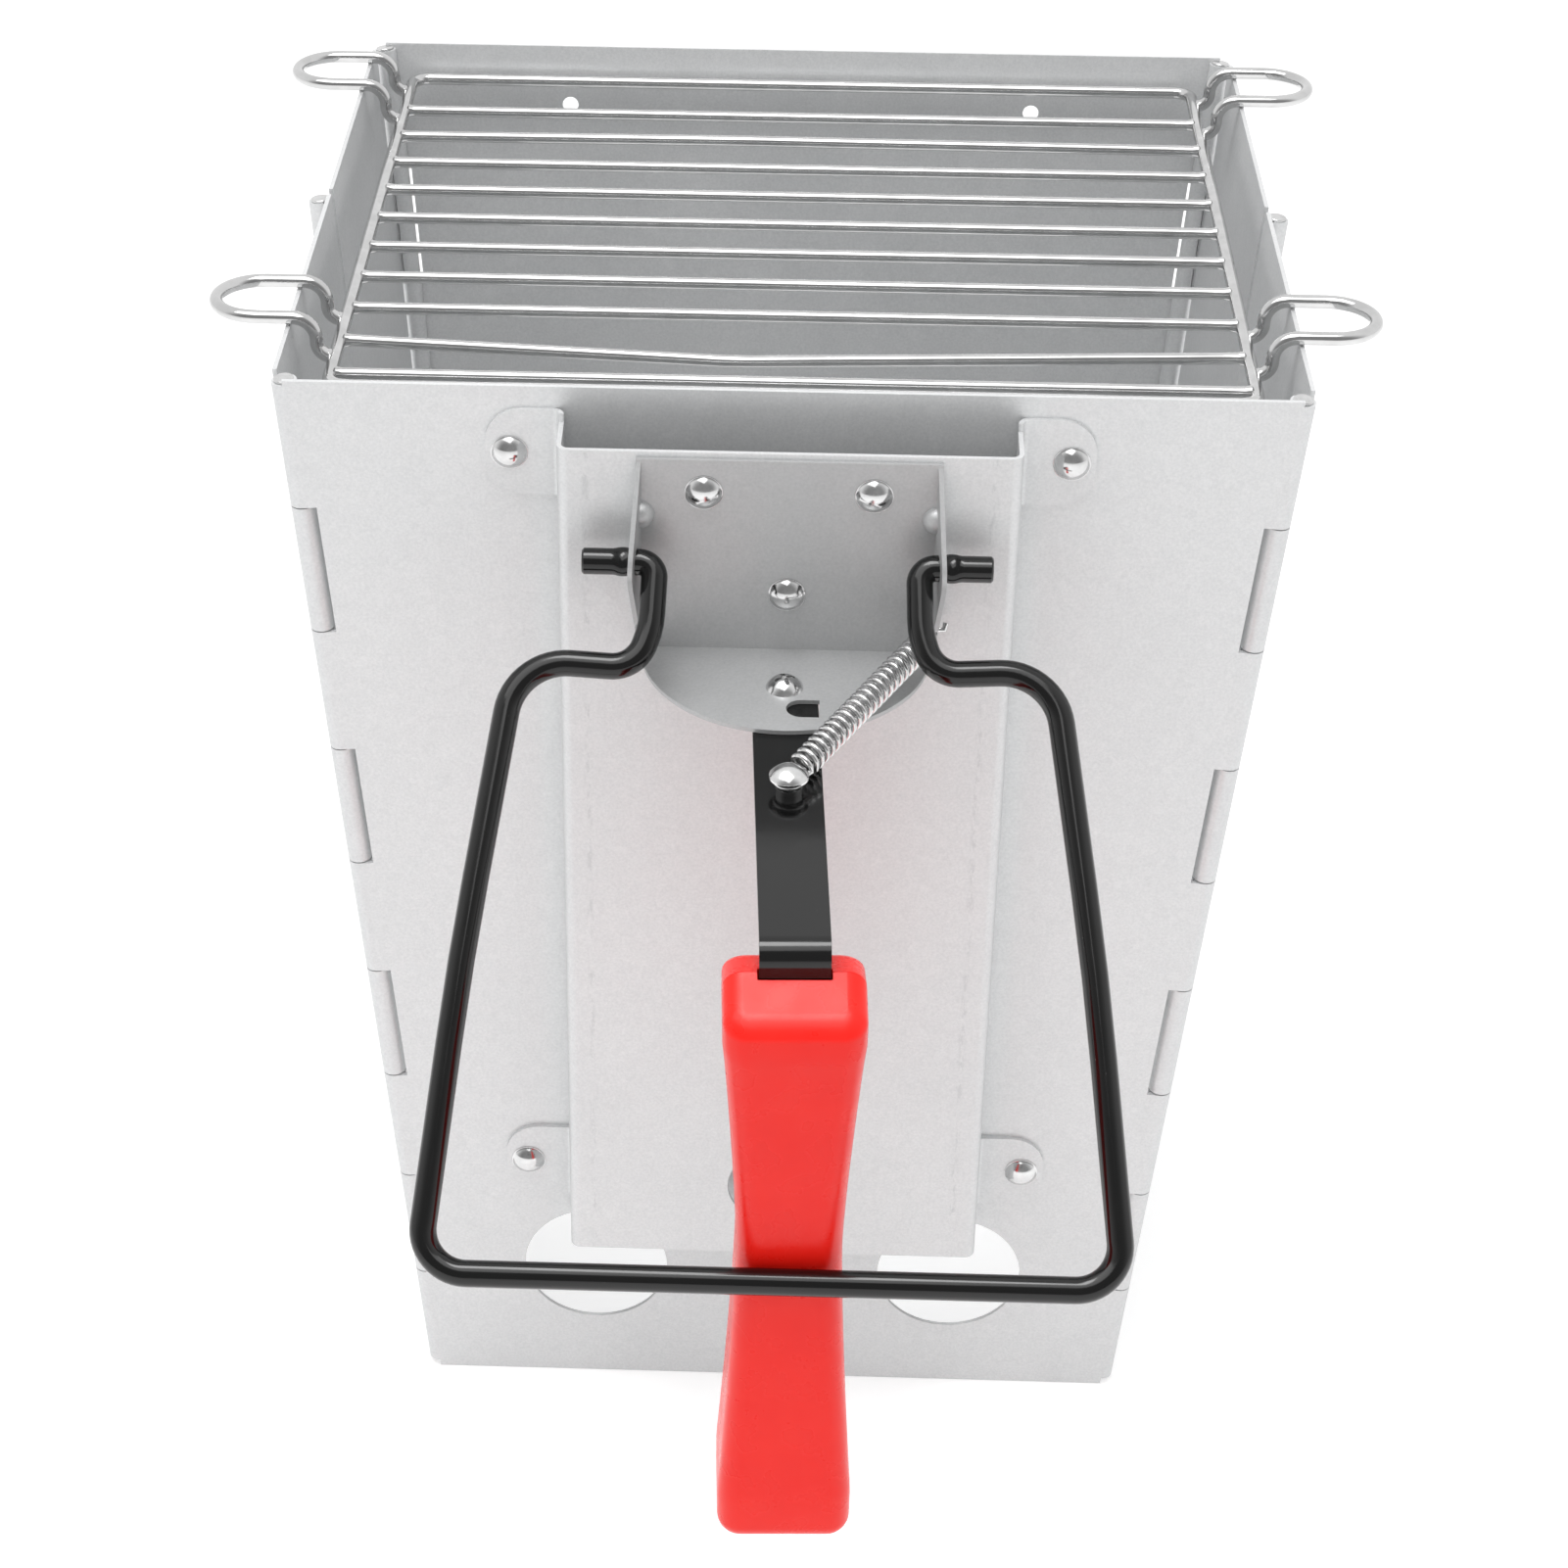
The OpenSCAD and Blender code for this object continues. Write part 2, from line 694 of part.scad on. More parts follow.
// Round wire along points in the XY plane, with a radius at each inner point
module wire(points, radii, d) {
    n = len(points);
    cut = [for (i = [0 : n - 1])
        i == 0 || i == n - 1 ? 0
        : let (u = unit(points[i] - points[i - 1]), v = unit(points[i + 1] - points[i]))
          radii[i] * tan(acos(min(1, u * v)) / 2)];
    for (i = [0 : n - 2]) {
        u = unit(points[i + 1] - points[i]);
        start = points[i] + u * cut[i];
        length = norm(points[i + 1] - points[i]) - cut[i] - cut[i + 1];
        if (length > eps)
            translate([start[0], start[1], 0]) rotate([0, 0, atan2(u[1], u[0])])
                rotate([0, 90, 0]) cylinder(d = d, h = length);
    }
    for (i = [1 : 1 : n - 2]) {
        u = unit(points[i] - points[i - 1]);
        v = unit(points[i + 1] - points[i]);
        side = turn_sign(u, v);
        centre = points[i] - u * cut[i] + side * radii[i] * [-u[1], u[0]];
        from = side > 0 ? -[-u[1], u[0]] : [-v[1], v[0]];
        translate([centre[0], centre[1], 0]) rotate([0, 0, atan2(from[1], from[0])])
            rotate_extrude(angle = acos(min(1, u * v))) translate([radii[i], 0]) circle(d = d);
    }
}

module on_bail() {
    on_front() translate([0, -bail_out, -bail_down]) rotate([-bail_turn, 0, 0]) children();
}

// Points of a path with a radius at each inner point, each arc in equal steps
function turned(v, angle) =
    [v[0] * cos(angle) - v[1] * sin(angle), v[0] * sin(angle) + v[1] * cos(angle)];
function arc_at(a, b, c, r, steps) =
    let (u = unit(b - a), v = unit(c - b), angle = acos(u * v), side = turn_sign(u, v),
         start = b - u * r * tan(angle / 2), arm = side * r * [u[1], -u[0]])
    [for (k = [0 : steps]) start - arm + turned(arm, side * angle * k / steps)];
function rounded_path(points, radii, steps) =
    let (last = len(points) - 1)
    [points[0],
     for (i = [1 : last - 1])
         each arc_at(points[i - 1], points[i], points[i + 1], radii[i], steps),
     points[last]];

// Ring of points round point i of a path, square to the path there; "up" is
// any direction that the path never takes
function path_ring(path, i, r, sides, up) =
    let (last = len(path) - 1,
         along = unit(path[min(i + 1, last)] - path[max(i - 1, 0)]),
         across = unit(cross(along, up)),
         other = cross(along, across))
    [for (k = [0 : sides - 1])
        path[i] + r * (across * cos(360 * k / sides) + other * sin(360 * k / sides))];

module swept(path, d, sides, up) {
    n = len(path);
    points = [for (i = [0 : n - 1]) each path_ring(path, i, d / 2, sides, up)];
    caps = [[for (k = [0 : sides - 1]) k],
            [for (k = [0 : sides - 1]) n * sides - 1 - k]];
    walls = [for (i = [0 : n - 2]) for (k = [0 : sides - 1])
        let (a = i * sides + k, b = i * sides + (k + 1) % sides)
        each [[a, b + sides, b], [a, a + sides, b + sides]]];
    polyhedron(points = points, faces = concat(caps, walls), convexity = 10);
}

// Wire bent in one plane, with true round journals where it turns in the bracket
journal_bend_r = 3.3;
leg_turn_out = 0.5;
leg_turn_r = 20;
bow_r = 800;
journal_past = 2;
journal_gap = 0.1;
pinch_len = 2.4;
pinch_t = 2.2;
pinch_past = 1.8;
bend_steps = 7;
wire_sides = 20;

module bail_handle() {
    leg_x = bracket_w / 2 - leg_in;
    bow = [(shoulder_x + bar_x) / 2 + leg_bow, -(shoulder_len + bail_len) / 2];
    journal_x = bracket_w / 2 + splay_out - sheet_t - journal_gap;
    half = [[journal_x + journal_past, 0], [leg_x, 0], [leg_x + leg_turn_out, -leg_turn_len],
            [leg_x + inner_out, -inner_len], [shoulder_x, -shoulder_len], bow,
            [bar_x, -bail_len]];
    half_radii = [0, journal_bend_r, leg_turn_r, inner_r, shoulder_r, bow_r, bar_r];
    backward = [len(half) - 1 : -1 : 0];
    path = rounded_path(concat(half, [for (i = backward) [-half[i][0], half[i][1]]]),
                        concat(half_radii, [for (i = backward) half_radii[i]]), bend_steps);
    pinch_x = bracket_w / 2 + splay_out + pinch_past;
    color(black) on_bail() {
        swept([for (p = path) [p[0], 0, p[1]]], bail_d - eps, wire_sides, [0, 1, 0]);
        both_sides() {
            translate([journal_x, 0, 0]) rotate([0, 90, 0])
                cylinder(d = bail_d, h = bail_tip_x - journal_x);
            translate([pinch_x - pinch_len / 2, -pinch_t / 2, -pinch_w / 2])
                cube([pinch_len, pinch_t, pinch_w]);
        }
    }
}

module on_pivot() {
    on_front() translate([0, -pivot_out, -strap_top]) rotate([0, 0, rest_turn]) children();
}

// In the pivot's frame the strap runs toward -Y and its top is at z = 0
strap_end = strap_reach - pivot_reach;
bend_out = strap_bend_r + strap_t;
tang_low = strap_t + grip_drop + tang_len;
screw_hole_gap = 0.15;
screw_depths = [upper_screw_at, tang_len - lower_screw_up];

module handle_strap() {
    hole_d = grip_screw_d + 2 * screw_hole_gap;
    color(black) on_pivot() difference() {
        union() {
            translate([0, 0, -strap_t]) cylinder(d = strap_w, h = strap_t);
            translate([-strap_w / 2, -strap_end + bend_out, -strap_t])
                cube([strap_w, strap_end - bend_out, strap_t]);
            translate([-strap_w / 2, -strap_end, -tang_low])
                cube([strap_w, strap_t, tang_low - bend_out]);
            intersection() {
                translate([-strap_w / 2, -strap_end + bend_out, -bend_out])
                    rotate([0, 90, 0]) difference() {
                        cylinder(r = bend_out, h = strap_w);
                        translate([0, 0, -eps]) cylinder(r = strap_bend_r, h = strap_w + 2 * eps);
                    }
                translate([-strap_w, -strap_end, -bend_out])
                    cube([2 * strap_w, bend_out, bend_out]);
            }
        }
        translate([0, 0, -strap_t - eps])
            cylinder(d = screw_d + 2 * screw_gap, h = strap_t + 2 * eps);
        translate([0, pivot_reach - post_reach, -strap_t - eps])
            cylinder(d = neck_d + 2 * shank_gap, h = strap_t + 2 * eps);
        for (depth = screw_depths)
            translate([0, -strap_end - eps, -strap_t - grip_drop - depth]) rotate([-90, 0, 0])
                cylinder(d = hole_d, h = strap_t + 2 * eps);
    }
}

// Cross-shaped recess for a screwdriver in a head whose top is at z = 0
recess_share = 0.55;
recess_slim = 5;
module cross_recess(head_d, head_h) {
    size = head_d * recess_share;
    for (turn = [0, 90]) rotate([0, 0, turn])
        translate([-size / 2, -size / recess_slim / 2, -head_h / 2])
            cube([size, size / recess_slim, far]);
}

recess_turn = 20;
thread_past = 1;

module pivot_screw() {
    stack = sheet_t + 2 * strap_gap + strap_t + washer_t;
    color(bright) on_front() translate([0, -pivot_out, -tab_down]) {
        difference() {
            mirror([0, 0, 1]) dome(screw_head_d, screw_head_h);
            translate([0, 0, screw_head_h]) rotate([0, 0, recess_turn])
                cross_recess(screw_head_d, screw_head_h);
        }
        translate([0, 0, -stack - nut_h - thread_past])
            cylinder(d = screw_d, h = stack + nut_h + thread_past + eps);
    }
}

module pivot_washer() {
    color(bright) on_front()
        translate([0, -pivot_out, -strap_top - strap_t - strap_gap - washer_t])
            difference() {
                cylinder(d = washer_d, h = washer_t);
                translate([0, 0, -eps]) cylinder(d = screw_d + 2 * screw_gap, h = washer_t + 2 * eps);
            }
}

// The nut's round collar, with its nylon ring, is at its low end
nut_collar_h = 1.4;
nut_collar_in = 0.3;

module pivot_nut() {
    color(bright) on_front()
        translate([0, -pivot_out, -strap_top - strap_t - strap_gap - washer_t - nut_h])
            difference() {
                union() {
                    translate([0, 0, nut_collar_h])
                        cylinder(d = nut_w / cos(30), h = nut_h - nut_collar_h, $fn = 6);
                    cylinder(d = nut_w - 2 * nut_collar_in, h = nut_collar_h + eps);
                }
                translate([0, 0, -eps]) cylinder(d = screw_d, h = nut_h + 2 * eps);
            }
}

collar_h = 1.4;
collar_w = 0.8;
post_head_h = 2.6;
head_rim_h = 0.5;
post_tail_w = 1.2;
post_tail_h = 1;

module spring_post() {
    color(bright) on_pivot() translate([0, pivot_reach - post_reach, 0]) {
        translate([0, 0, -strap_t]) cylinder(d = neck_d, h = strap_t + post_h - post_head_h + eps);
        cylinder(d = neck_d + 2 * collar_w, h = collar_h);
        translate([0, 0, post_h - post_head_h]) cylinder(d = post_head_d, h = head_rim_h + eps);
        translate([0, 0, post_h - post_head_h + head_rim_h]) mirror([0, 0, 1])
            dome(post_head_d, post_head_h - head_rim_h);
        translate([0, 0, -strap_t - post_tail_h])
            cylinder(d = neck_d + 2 * post_tail_w, h = post_tail_h);
    }
}

// The spring runs in the bracket's frame from the post's neck to the hole in
// the right flange; a and b are the ends of its coil
loop_under = 0.1;
hook_z = -strap_top + post_h - post_head_h - spring_wire / 2 - loop_under;
post_point = [(post_out - pivot_out) * sin(rest_turn),
              -pivot_out - (post_out - pivot_out) * cos(rest_turn), hook_z];
flange_point = [bracket_w / 2 - foot_in - sheet_t / 2 + hook_past * tan(flange_splay),
                -hook_out, -hook_down];
spring_axis = unit(flange_point - post_point);
loop_gap = 0.2;
loop_past = 1.6;
loop_sweep = 300;
hook_len = 5.4;
loop_r = neck_d / 2 + spring_wire / 2 + loop_gap;
coil_start = post_point + spring_axis * (loop_r + loop_past);
coil_end = flange_point - spring_axis * hook_len;
coil_r = (spring_d - spring_wire) / 2;
side_axis = unit(cross(spring_axis, [0, 0, 1]));
up_axis = cross(side_axis, spring_axis);

function coil_point(t, r) =
    let (a = 360 * spring_turns * t)
    coil_start + (coil_end - coil_start) * t + r * (side_axis * cos(a) + up_axis * sin(a));

// An open loop round the post's neck, the coil, and a hook through the flange
hook_lead = 3.4;
hook_rise = 1.2;
hook_steps = [[-1.6, 0, 0], [0.6, 0, 0], [1.9, 0, 0], [2.2, 0.6, 1.4]];
loop_steps = 16;
turn_steps = 12;
coil_sides = 6;
coil_steps = spring_turns * turn_steps;
spring_path = concat(
    [for (i = [0 : loop_steps - 1])
        let (a = loop_sweep * (i / loop_steps - 0.5))
        post_point + loop_r * (-spring_axis * cos(a) + side_axis * sin(a))],
    [for (i = [0 : coil_steps]) coil_point(i / coil_steps, coil_r)],
    [flange_point - spring_axis * hook_lead + [0, 0, hook_rise]],
    [for (step = hook_steps) flange_point + step]);

module return_spring() {
    color(bright) on_front()
        swept(spring_path, spring_wire, coil_sides, up_axis + side_axis / 3 + spring_axis / 5);
}

// Slice of the grip at a depth below its top, with rounded corners
slice_h = 0.4;
module grip_slice(depth, w, t, r) {
    translate([0, 0, -depth]) for (x = [-1, 1]) for (y = [-1, 1])
        translate([x * (w / 2 - r), y * (t / 2 - r), 0])
            cylinder(r = r, h = slice_h, $fn = 32);
}

// The grip's size eases from its ends to its waist: "ease_span" is the share
// of the way to an end at which it reaches its full size
ease_span = 0.85;
ease_power = 1.35;
function eased(depth) =
    let (span = depth < waist_at ? waist_at : grip_len - waist_at,
         far_from_waist = abs(depth - waist_at) / span)
    far_from_waist < ease_span ? pow(far_from_waist / ease_span, ease_power) : 1;
function grip_w_at(depth) = waist_w + (grip_w - waist_w) * eased(depth);
function grip_t_at(depth) = waist_t + (grip_t - waist_t) * eased(depth);

module grip_band(from, to) {
    hull() for (depth = [from, to])
        grip_slice(depth, grip_w_at(depth), grip_t_at(depth), grip_r);
}

// Slices of the grip's rounded ends: the distance from the end, and what the
// width, the depth and the corners' radius lose there
cap_steps = [[slice_h, 7, 11, 3], [2.6, 1.6, 2.2, 1], [cap_h, 0, 0, 0]];
end_steps = [[4.6, 0, 0, 0], [1.4, 2.8, 2.4, 1], [0, 9, 8, 2]];
upper_full = waist_at * (1 - ease_span);
upper_mid = waist_at * 0.55;
lower_full = waist_at + (grip_len - waist_at) * ease_span;
lower_mid = (waist_at + lower_full) / 2;

module end_slice(depth, step) {
    grip_slice(depth, grip_w - step[1], grip_t - step[2], grip_r - step[3]);
}

// The grip's top: a low roof that falls to the front and the back, with
// rounded shoulders
module grip_cap() {
    hull() {
        for (step = cap_steps) end_slice(step[0], step);
        grip_slice(upper_full, grip_w, grip_t, grip_r);
    }
}

module grip_end() {
    hull() {
        grip_slice(lower_full, grip_w, grip_t, grip_r);
        for (step = end_steps) end_slice(grip_len - step[0], step);
    }
}

// Both halves in one, in a frame whose Z axis is the middle of the strap
module grip_body() {
    grip_cap();
    grip_band(upper_full, upper_mid);
    grip_band(upper_mid, waist_at);
    grip_band(waist_at, lower_mid);
    grip_band(lower_mid, lower_full);
    grip_end();
}

module on_grip() {
    on_pivot() translate([0, -strap_end + strap_t / 2, -strap_t - grip_drop]) children();
}

module tang_space() {
    half_t = strap_t / 2 + tang_gap;
    half_w = strap_w / 2 + tang_gap;
    translate([-half_w, -half_t, -tang_len - tang_gap])
        cube([2 * half_w, 2 * half_t, tang_len + tang_gap + far]);
}

parting_gap = 0.05;
boss_reach = 6.4;
boss_gap = 0.4;
head_sink = 3;
head_gap = 0.2;
grip_screw_head_h = 2.2;

// The front half, with a blind hole for each screw
module grip_front() {
    color(red) on_grip() difference() {
        grip_body();
        translate([-far, -parting_gap / 2, -grip_len - far]) cube([2 * far, 2 * far, grip_len + 2 * far]);
        tang_space();
        for (depth = screw_depths)
            translate([0, -boss_reach, -depth]) rotate([-90, 0, 0])
                cylinder(d = grip_screw_d, h = boss_reach + far);
    }
}

// The back half, with a sunk hole for each screw
module grip_back() {
    color(red) on_grip() difference() {
        grip_body();
        translate([-far, parting_gap / 2 - 2 * far, -grip_len - far])
            cube([2 * far, 2 * far, grip_len + 2 * far]);
        tang_space();
        for (depth = screw_depths) translate([0, 0, -depth]) rotate([-90, 0, 0]) {
            translate([0, 0, -far]) cylinder(d = grip_screw_d + 2 * shank_gap, h = 2 * far);
            translate([0, 0, waist_t / 2 - head_sink])
                cylinder(d = grip_screw_head_d + 2 * head_gap, h = far);
        }
    }
}

module grip_screws() {
    seat = waist_t / 2 - head_sink;
    color(bright) on_grip() for (depth = screw_depths)
        translate([0, 0, -depth]) rotate([-90, 0, 0]) difference() {
            union() {
                translate([0, 0, -boss_reach + boss_gap])
                    cylinder(d = grip_screw_d, h = boss_reach - boss_gap + seat + eps);
                translate([0, 0, seat]) mirror([0, 0, 1])
                    dome(grip_screw_head_d, grip_screw_head_h);
            }
            translate([0, 0, seat + grip_screw_head_h])
                cross_recess(grip_screw_head_d, grip_screw_head_h);
        }
}

module on_grill() {
    box_frame() translate([0, 0, frame_z]) children();
}

module straight_wire(from, to, d) {
    along = to - from;
    translate(from) rotate([0, 0, atan2(along[1], along[0])]) rotate([0, 90, 0])
        cylinder(d = d, h = norm(along));
}

// Closed rectangle of wire with rounded corners
module frame_ring() {
    for (x = [-1, 1]) {
        straight_wire([x * frame_hw, frame_front + frame_r, 0],
                      [x * frame_hw, frame_back - frame_r, 0], frame_wire);
        for (end = [0, 1])
            translate([x * (frame_hw - frame_r),
                       end == 0 ? frame_front + frame_r : frame_back - frame_r, 0])
                rotate([0, 0, x > 0 ? (end == 0 ? -90 : 0) : (end == 0 ? 180 : 90)])
                    rotate_extrude(angle = 90) translate([frame_r, 0]) circle(d = frame_wire);
    }
    for (y = [frame_front, frame_back])
        straight_wire([-frame_hw + frame_r, y, 0], [frame_hw - frame_r, y, 0], frame_wire);
}

module grill_frame() {
    color(bright) on_grill() frame_ring();
}

// Rods welded between the frame's side wires, cut to fit round them
module grill_rods() {
    first = frame_front + rod_front_gap;
    pitch = (frame_back - rod_back_gap - first) / (rods - 1);
    color(bright) on_grill() difference() {
        for (i = [0 : rods - 1])
            straight_wire([-frame_hw, first + i * pitch, 0],
                          [frame_hw, first + i * pitch, 0], rod_wire);
        for (x = [-frame_hw, frame_hw])
            straight_wire([x, frame_front, 0], [x, frame_back, 0], frame_wire);
    }
}

ear_top_r = 5;
ear_low_r = 2;

// One ear: a flat loop over the rim, with two legs that bend down inside the
// wall and in again to the frame
module grill_ear() {
    leg_x = top_w / 2 - ear_leg_in;
    half_w = (ear_w - frame_wire) / 2;
    tip_x = top_w / 2 + ear_out - frame_wire / 2;
    upper_r = min(ear_top_r, ear_drop - ear_low_r);
    for (y = [-half_w, half_w]) translate([0, y, 0]) rotate([90, 0, 0])
        wire([[frame_hw, 0], [leg_x, 0], [leg_x, ear_drop], [tip_x - half_w, ear_drop]],
             [0, ear_low_r, upper_r, 0], frame_wire);
    translate([tip_x - half_w, 0, ear_drop]) rotate([0, 0, -90])
        rotate_extrude(angle = 180) translate([half_w, 0]) circle(d = frame_wire);
}

module grill_ears() {
    middle = (frame_front + frame_back) / 2 + ears_back;
    color(bright) on_grill() difference() {
        both_sides() for (y = [-ear_pitch / 2, ear_pitch / 2])
            translate([0, middle + y, 0]) grill_ear();
        for (x = [-frame_hw, frame_hw])
            straight_wire([x, frame_front, 0], [x, frame_back, 0], frame_wire);
        translate([-frame_hw, frame_front, -far]) cube([2 * frame_hw, frame_back - frame_front, 2 * far]);
    }
}

front_panel();
back_panel();
left_front_panel();
left_rear_panel();
right_front_panel();
right_rear_panel();
front_left_pin();
front_right_pin();
rear_left_pin();
rear_right_pin();
middle_left_pin();
middle_right_pin();
handle_channel();
channel_rivets();
handle_bracket();
bracket_rivets();
bail_handle();
handle_strap();
pivot_screw();
pivot_washer();
pivot_nut();
spring_post();
return_spring();
grip_front();
grip_back();
grip_screws();
grill_frame();
grill_rods();
grill_ears();
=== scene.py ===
"""Looks of a folding camping grill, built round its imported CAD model, in metres.

The box stands on the floor with its handle toward the camera. "Out" is a distance out from
the front wall's outer face and "down" is a distance down it from the rim.
"""

import json
import math

import bmesh
import bpy
from mathutils import Matrix, Vector

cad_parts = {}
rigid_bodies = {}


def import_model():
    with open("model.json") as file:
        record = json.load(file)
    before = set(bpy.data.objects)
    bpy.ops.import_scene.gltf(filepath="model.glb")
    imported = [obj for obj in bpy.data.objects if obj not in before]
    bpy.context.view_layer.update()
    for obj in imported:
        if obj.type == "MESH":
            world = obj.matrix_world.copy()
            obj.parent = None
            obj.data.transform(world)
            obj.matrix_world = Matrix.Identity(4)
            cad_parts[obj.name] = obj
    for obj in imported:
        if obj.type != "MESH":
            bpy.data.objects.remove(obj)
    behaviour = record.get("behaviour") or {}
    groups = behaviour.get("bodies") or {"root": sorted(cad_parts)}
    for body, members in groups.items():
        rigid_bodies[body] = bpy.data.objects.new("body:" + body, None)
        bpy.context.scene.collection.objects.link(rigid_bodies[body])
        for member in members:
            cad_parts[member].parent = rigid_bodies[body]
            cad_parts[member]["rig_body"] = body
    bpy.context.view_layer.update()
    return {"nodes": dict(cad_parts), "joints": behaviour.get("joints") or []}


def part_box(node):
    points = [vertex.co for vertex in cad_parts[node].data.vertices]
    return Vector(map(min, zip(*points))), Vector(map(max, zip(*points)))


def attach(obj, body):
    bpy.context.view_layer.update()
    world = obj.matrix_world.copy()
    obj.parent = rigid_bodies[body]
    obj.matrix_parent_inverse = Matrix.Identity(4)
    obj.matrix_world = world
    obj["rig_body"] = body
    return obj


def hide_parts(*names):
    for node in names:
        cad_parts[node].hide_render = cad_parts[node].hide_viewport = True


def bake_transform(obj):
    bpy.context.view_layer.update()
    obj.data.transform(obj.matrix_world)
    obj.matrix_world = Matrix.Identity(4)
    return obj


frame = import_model()

MM = 0.001

# Box
TOP_WIDTH = 220 * MM
TOP_DEPTH = 210 * MM
BOTTOM_WIDTH = 172 * MM
BOX_HEIGHT = 282 * MM
SHEET = 1 * MM
FRONT_LEAN = math.atan2((TOP_DEPTH - BOTTOM_WIDTH * TOP_DEPTH / TOP_WIDTH) / 2, BOX_HEIGHT)
CHANNEL_WIDTH = 97.4 * MM
SCUFF_IN = 6 * MM
SCUFF_WIDTH = 1.1 * MM
PLATE_OUT = 15 * MM
BRACKET_WIDTH = 64 * MM
FLANGE_SPLAY = math.radians(5.5)
FLANGE_X = BRACKET_WIDTH / 2 - 0.1 * MM
BAIL_OUT = 22 * MM
SPLAY_OUT = (BAIL_OUT - PLATE_OUT) * math.tan(FLANGE_SPLAY)
SHEET_EASE = 0.16 * MM
PIN_EASE = 0.2 * MM
SCREW_EASE = 0.12 * MM

# Rivets, each place as (x, down)
RIVET_HEAD = 8 * MM
RIVET_HEIGHT = 2.4 * MM
RIVET_LIP = 0.25 * MM
RIVET_SHANK = 4 * MM
RIVET_TAIL = 6 * MM
RIVET_TAIL_HEIGHT = 1.2 * MM
RIVET_TAIL_EASE = (0.5 * MM, 0.3 * MM)
CHANNEL_RIVETS = [(x * MM, down * MM) for x in (-59.5, 59.5) for down in (15.3, 212.7)]
BRACKET_RIVETS = [(-17.8 * MM, 15.9 * MM), (17.8 * MM, 15.9 * MM), (0, 40.6 * MM)]

# Bail
BAIL_WIRE = 5.6 * MM
BAIL_LENGTH = 149 * MM
BAIL_TIP_X = 43 * MM
JOURNAL_BEND = 3.3 * MM
LEG_X = BRACKET_WIDTH / 2 - 4.4 * MM
LEG_TURN = (LEG_X + 0.5 * MM, -14.5 * MM)
LEG_TURN_BEND = 20 * MM
INNER_CORNER = (LEG_X + 3.7 * MM, -22.8 * MM)
INNER_BEND = 7 * MM
SHOULDER = (56 * MM, -21.5 * MM)
SHOULDER_BEND = 12.5 * MM
BAR_X = 71.3 * MM
BAR_BEND = 9 * MM
LEG_BOW = 1.4 * MM
LEG_BOW_BEND = 800 * MM
PINCH_X = FLANGE_X + SPLAY_OUT + 1.8 * MM
PINCH_WIDTH = 6.3 * MM
PINCH_DEPTH = 4.4 * MM
PINCH_REACH = 1.8 * MM
PINCH_POINTS_FROM = PINCH_X - 3 * MM
PINCH_POINT_STEP = 0.5 * MM
JOURNAL_HEIGHT = 1 * MM
CUT_BEVEL = 0.4 * MM

# Handle
REST_TURN = math.radians(2.3)
STRAP = 3 * MM
STRAP_WIDTH = 14 * MM
PIVOT_REACH = 14.6 * MM
STRAP_REACH = 104 * MM
POST_REACH = 51 * MM
STRAP_TOP = 55.6 * MM
STRAP_EASE = 0.35 * MM
TANG_LENGTH = 92 * MM
BAR_GAP = 0.4 * MM

# Grip
GRIP_LENGTH = 144 * MM
GRIP_WIDTH = 28.2 * MM
GRIP_WAIST_WIDTH = 21.6 * MM
GRIP_DEPTH = 26 * MM
WAIST_DEPTH = 19.6 * MM
GRIP_RADIUS = 5 * MM
GRIP_WAIST_AT = 66 * MM
GRIP_EASE_SPAN = 0.85
GRIP_EASE_POWER = 1.35
GRIP_DROP = 3.4 * MM
GRIP_ROOF = 4.8 * MM
GRIP_ROOF_FADE = 16 * MM
GRIP_TOP_ROUND = 4 * MM
GRIP_END_ROUND = 4.5 * MM
GRIP_LEAST_CORNER = 0.4 * MM
GRIP_CUT_EASE = 0.22 * MM
GRIP_PARTING = 0.06 * MM
GRIP_SCREW_DEPTHS = [24 * MM, 78 * MM]
SCREW_SINK = 3 * MM
SCREW_SINK_RADIUS = 4 * MM
SLOT_SIDE_GAP = 0.3 * MM
SLOT_FACE_GAP = 0.25 * MM
SLOT_ABOVE = 10 * MM

# Grip's rings: steps in from the rounded edges, and down the sides
ROOF_STEP = 1.7 * MM
ROOF_EDGE = 0.15 * MM
SIDE_STEP = 3 * MM
END_STEP = 1.5 * MM

# Spring
SPRING_WIDTH = 6.2 * MM
SPRING_WIRE = 1.2 * MM
SPRING_TURNS = 23
TURN_STEPS = 20
HOOK_OUT = PLATE_OUT + 3.2 * MM
HOOK_DOWN = 46.6 * MM
HOOK_LENGTH = 5.4 * MM
HOOK_LEAD = 3.4 * MM
HOOK_RISE = 1.2 * MM
HOOK_STEPS = [Vector(p) * MM for p in ((-1.6, 0, 0), (0.6, 0, 0), (1.9, 0, 0), (2.2, 0.6, 1.4))]
POST_NECK = 4 * MM
POST_HOOK_HEIGHT = 2.8 * MM
LOOP_GAP = 0.2 * MM
LOOP_PAST = 1.6 * MM

# Grill
FRAME_WIRE = 3 * MM
ROD_WIRE = 2.7 * MM
RODS = 10
ROD_FRONT_GAP = 6.6 * MM
ROD_BACK_GAP = 23.2 * MM
FRAME_CORNER = 4.4 * MM
EAR_DROP = 9 * MM
EAR_PITCH = 144.4 * MM
EARS_BACK = 2.8 * MM
EAR_WIDTH = 23 * MM
EAR_OUT = 18 * MM
EAR_LEG_IN = 6.5 * MM
EAR_UPPER_BEND = 5 * MM
EAR_LOWER_BEND = 3.4 * MM
EAR_WELD_IN = 1.2 * MM
EAR_WELD_SWELL = 0.3 * MM
ROD_POINT_STEP = 6 * MM
ROD_INTO_FRAME = 0.35 * MM
ROD_WELD_SWELLS = {0: 0.35 * MM, 1: 0.14 * MM}
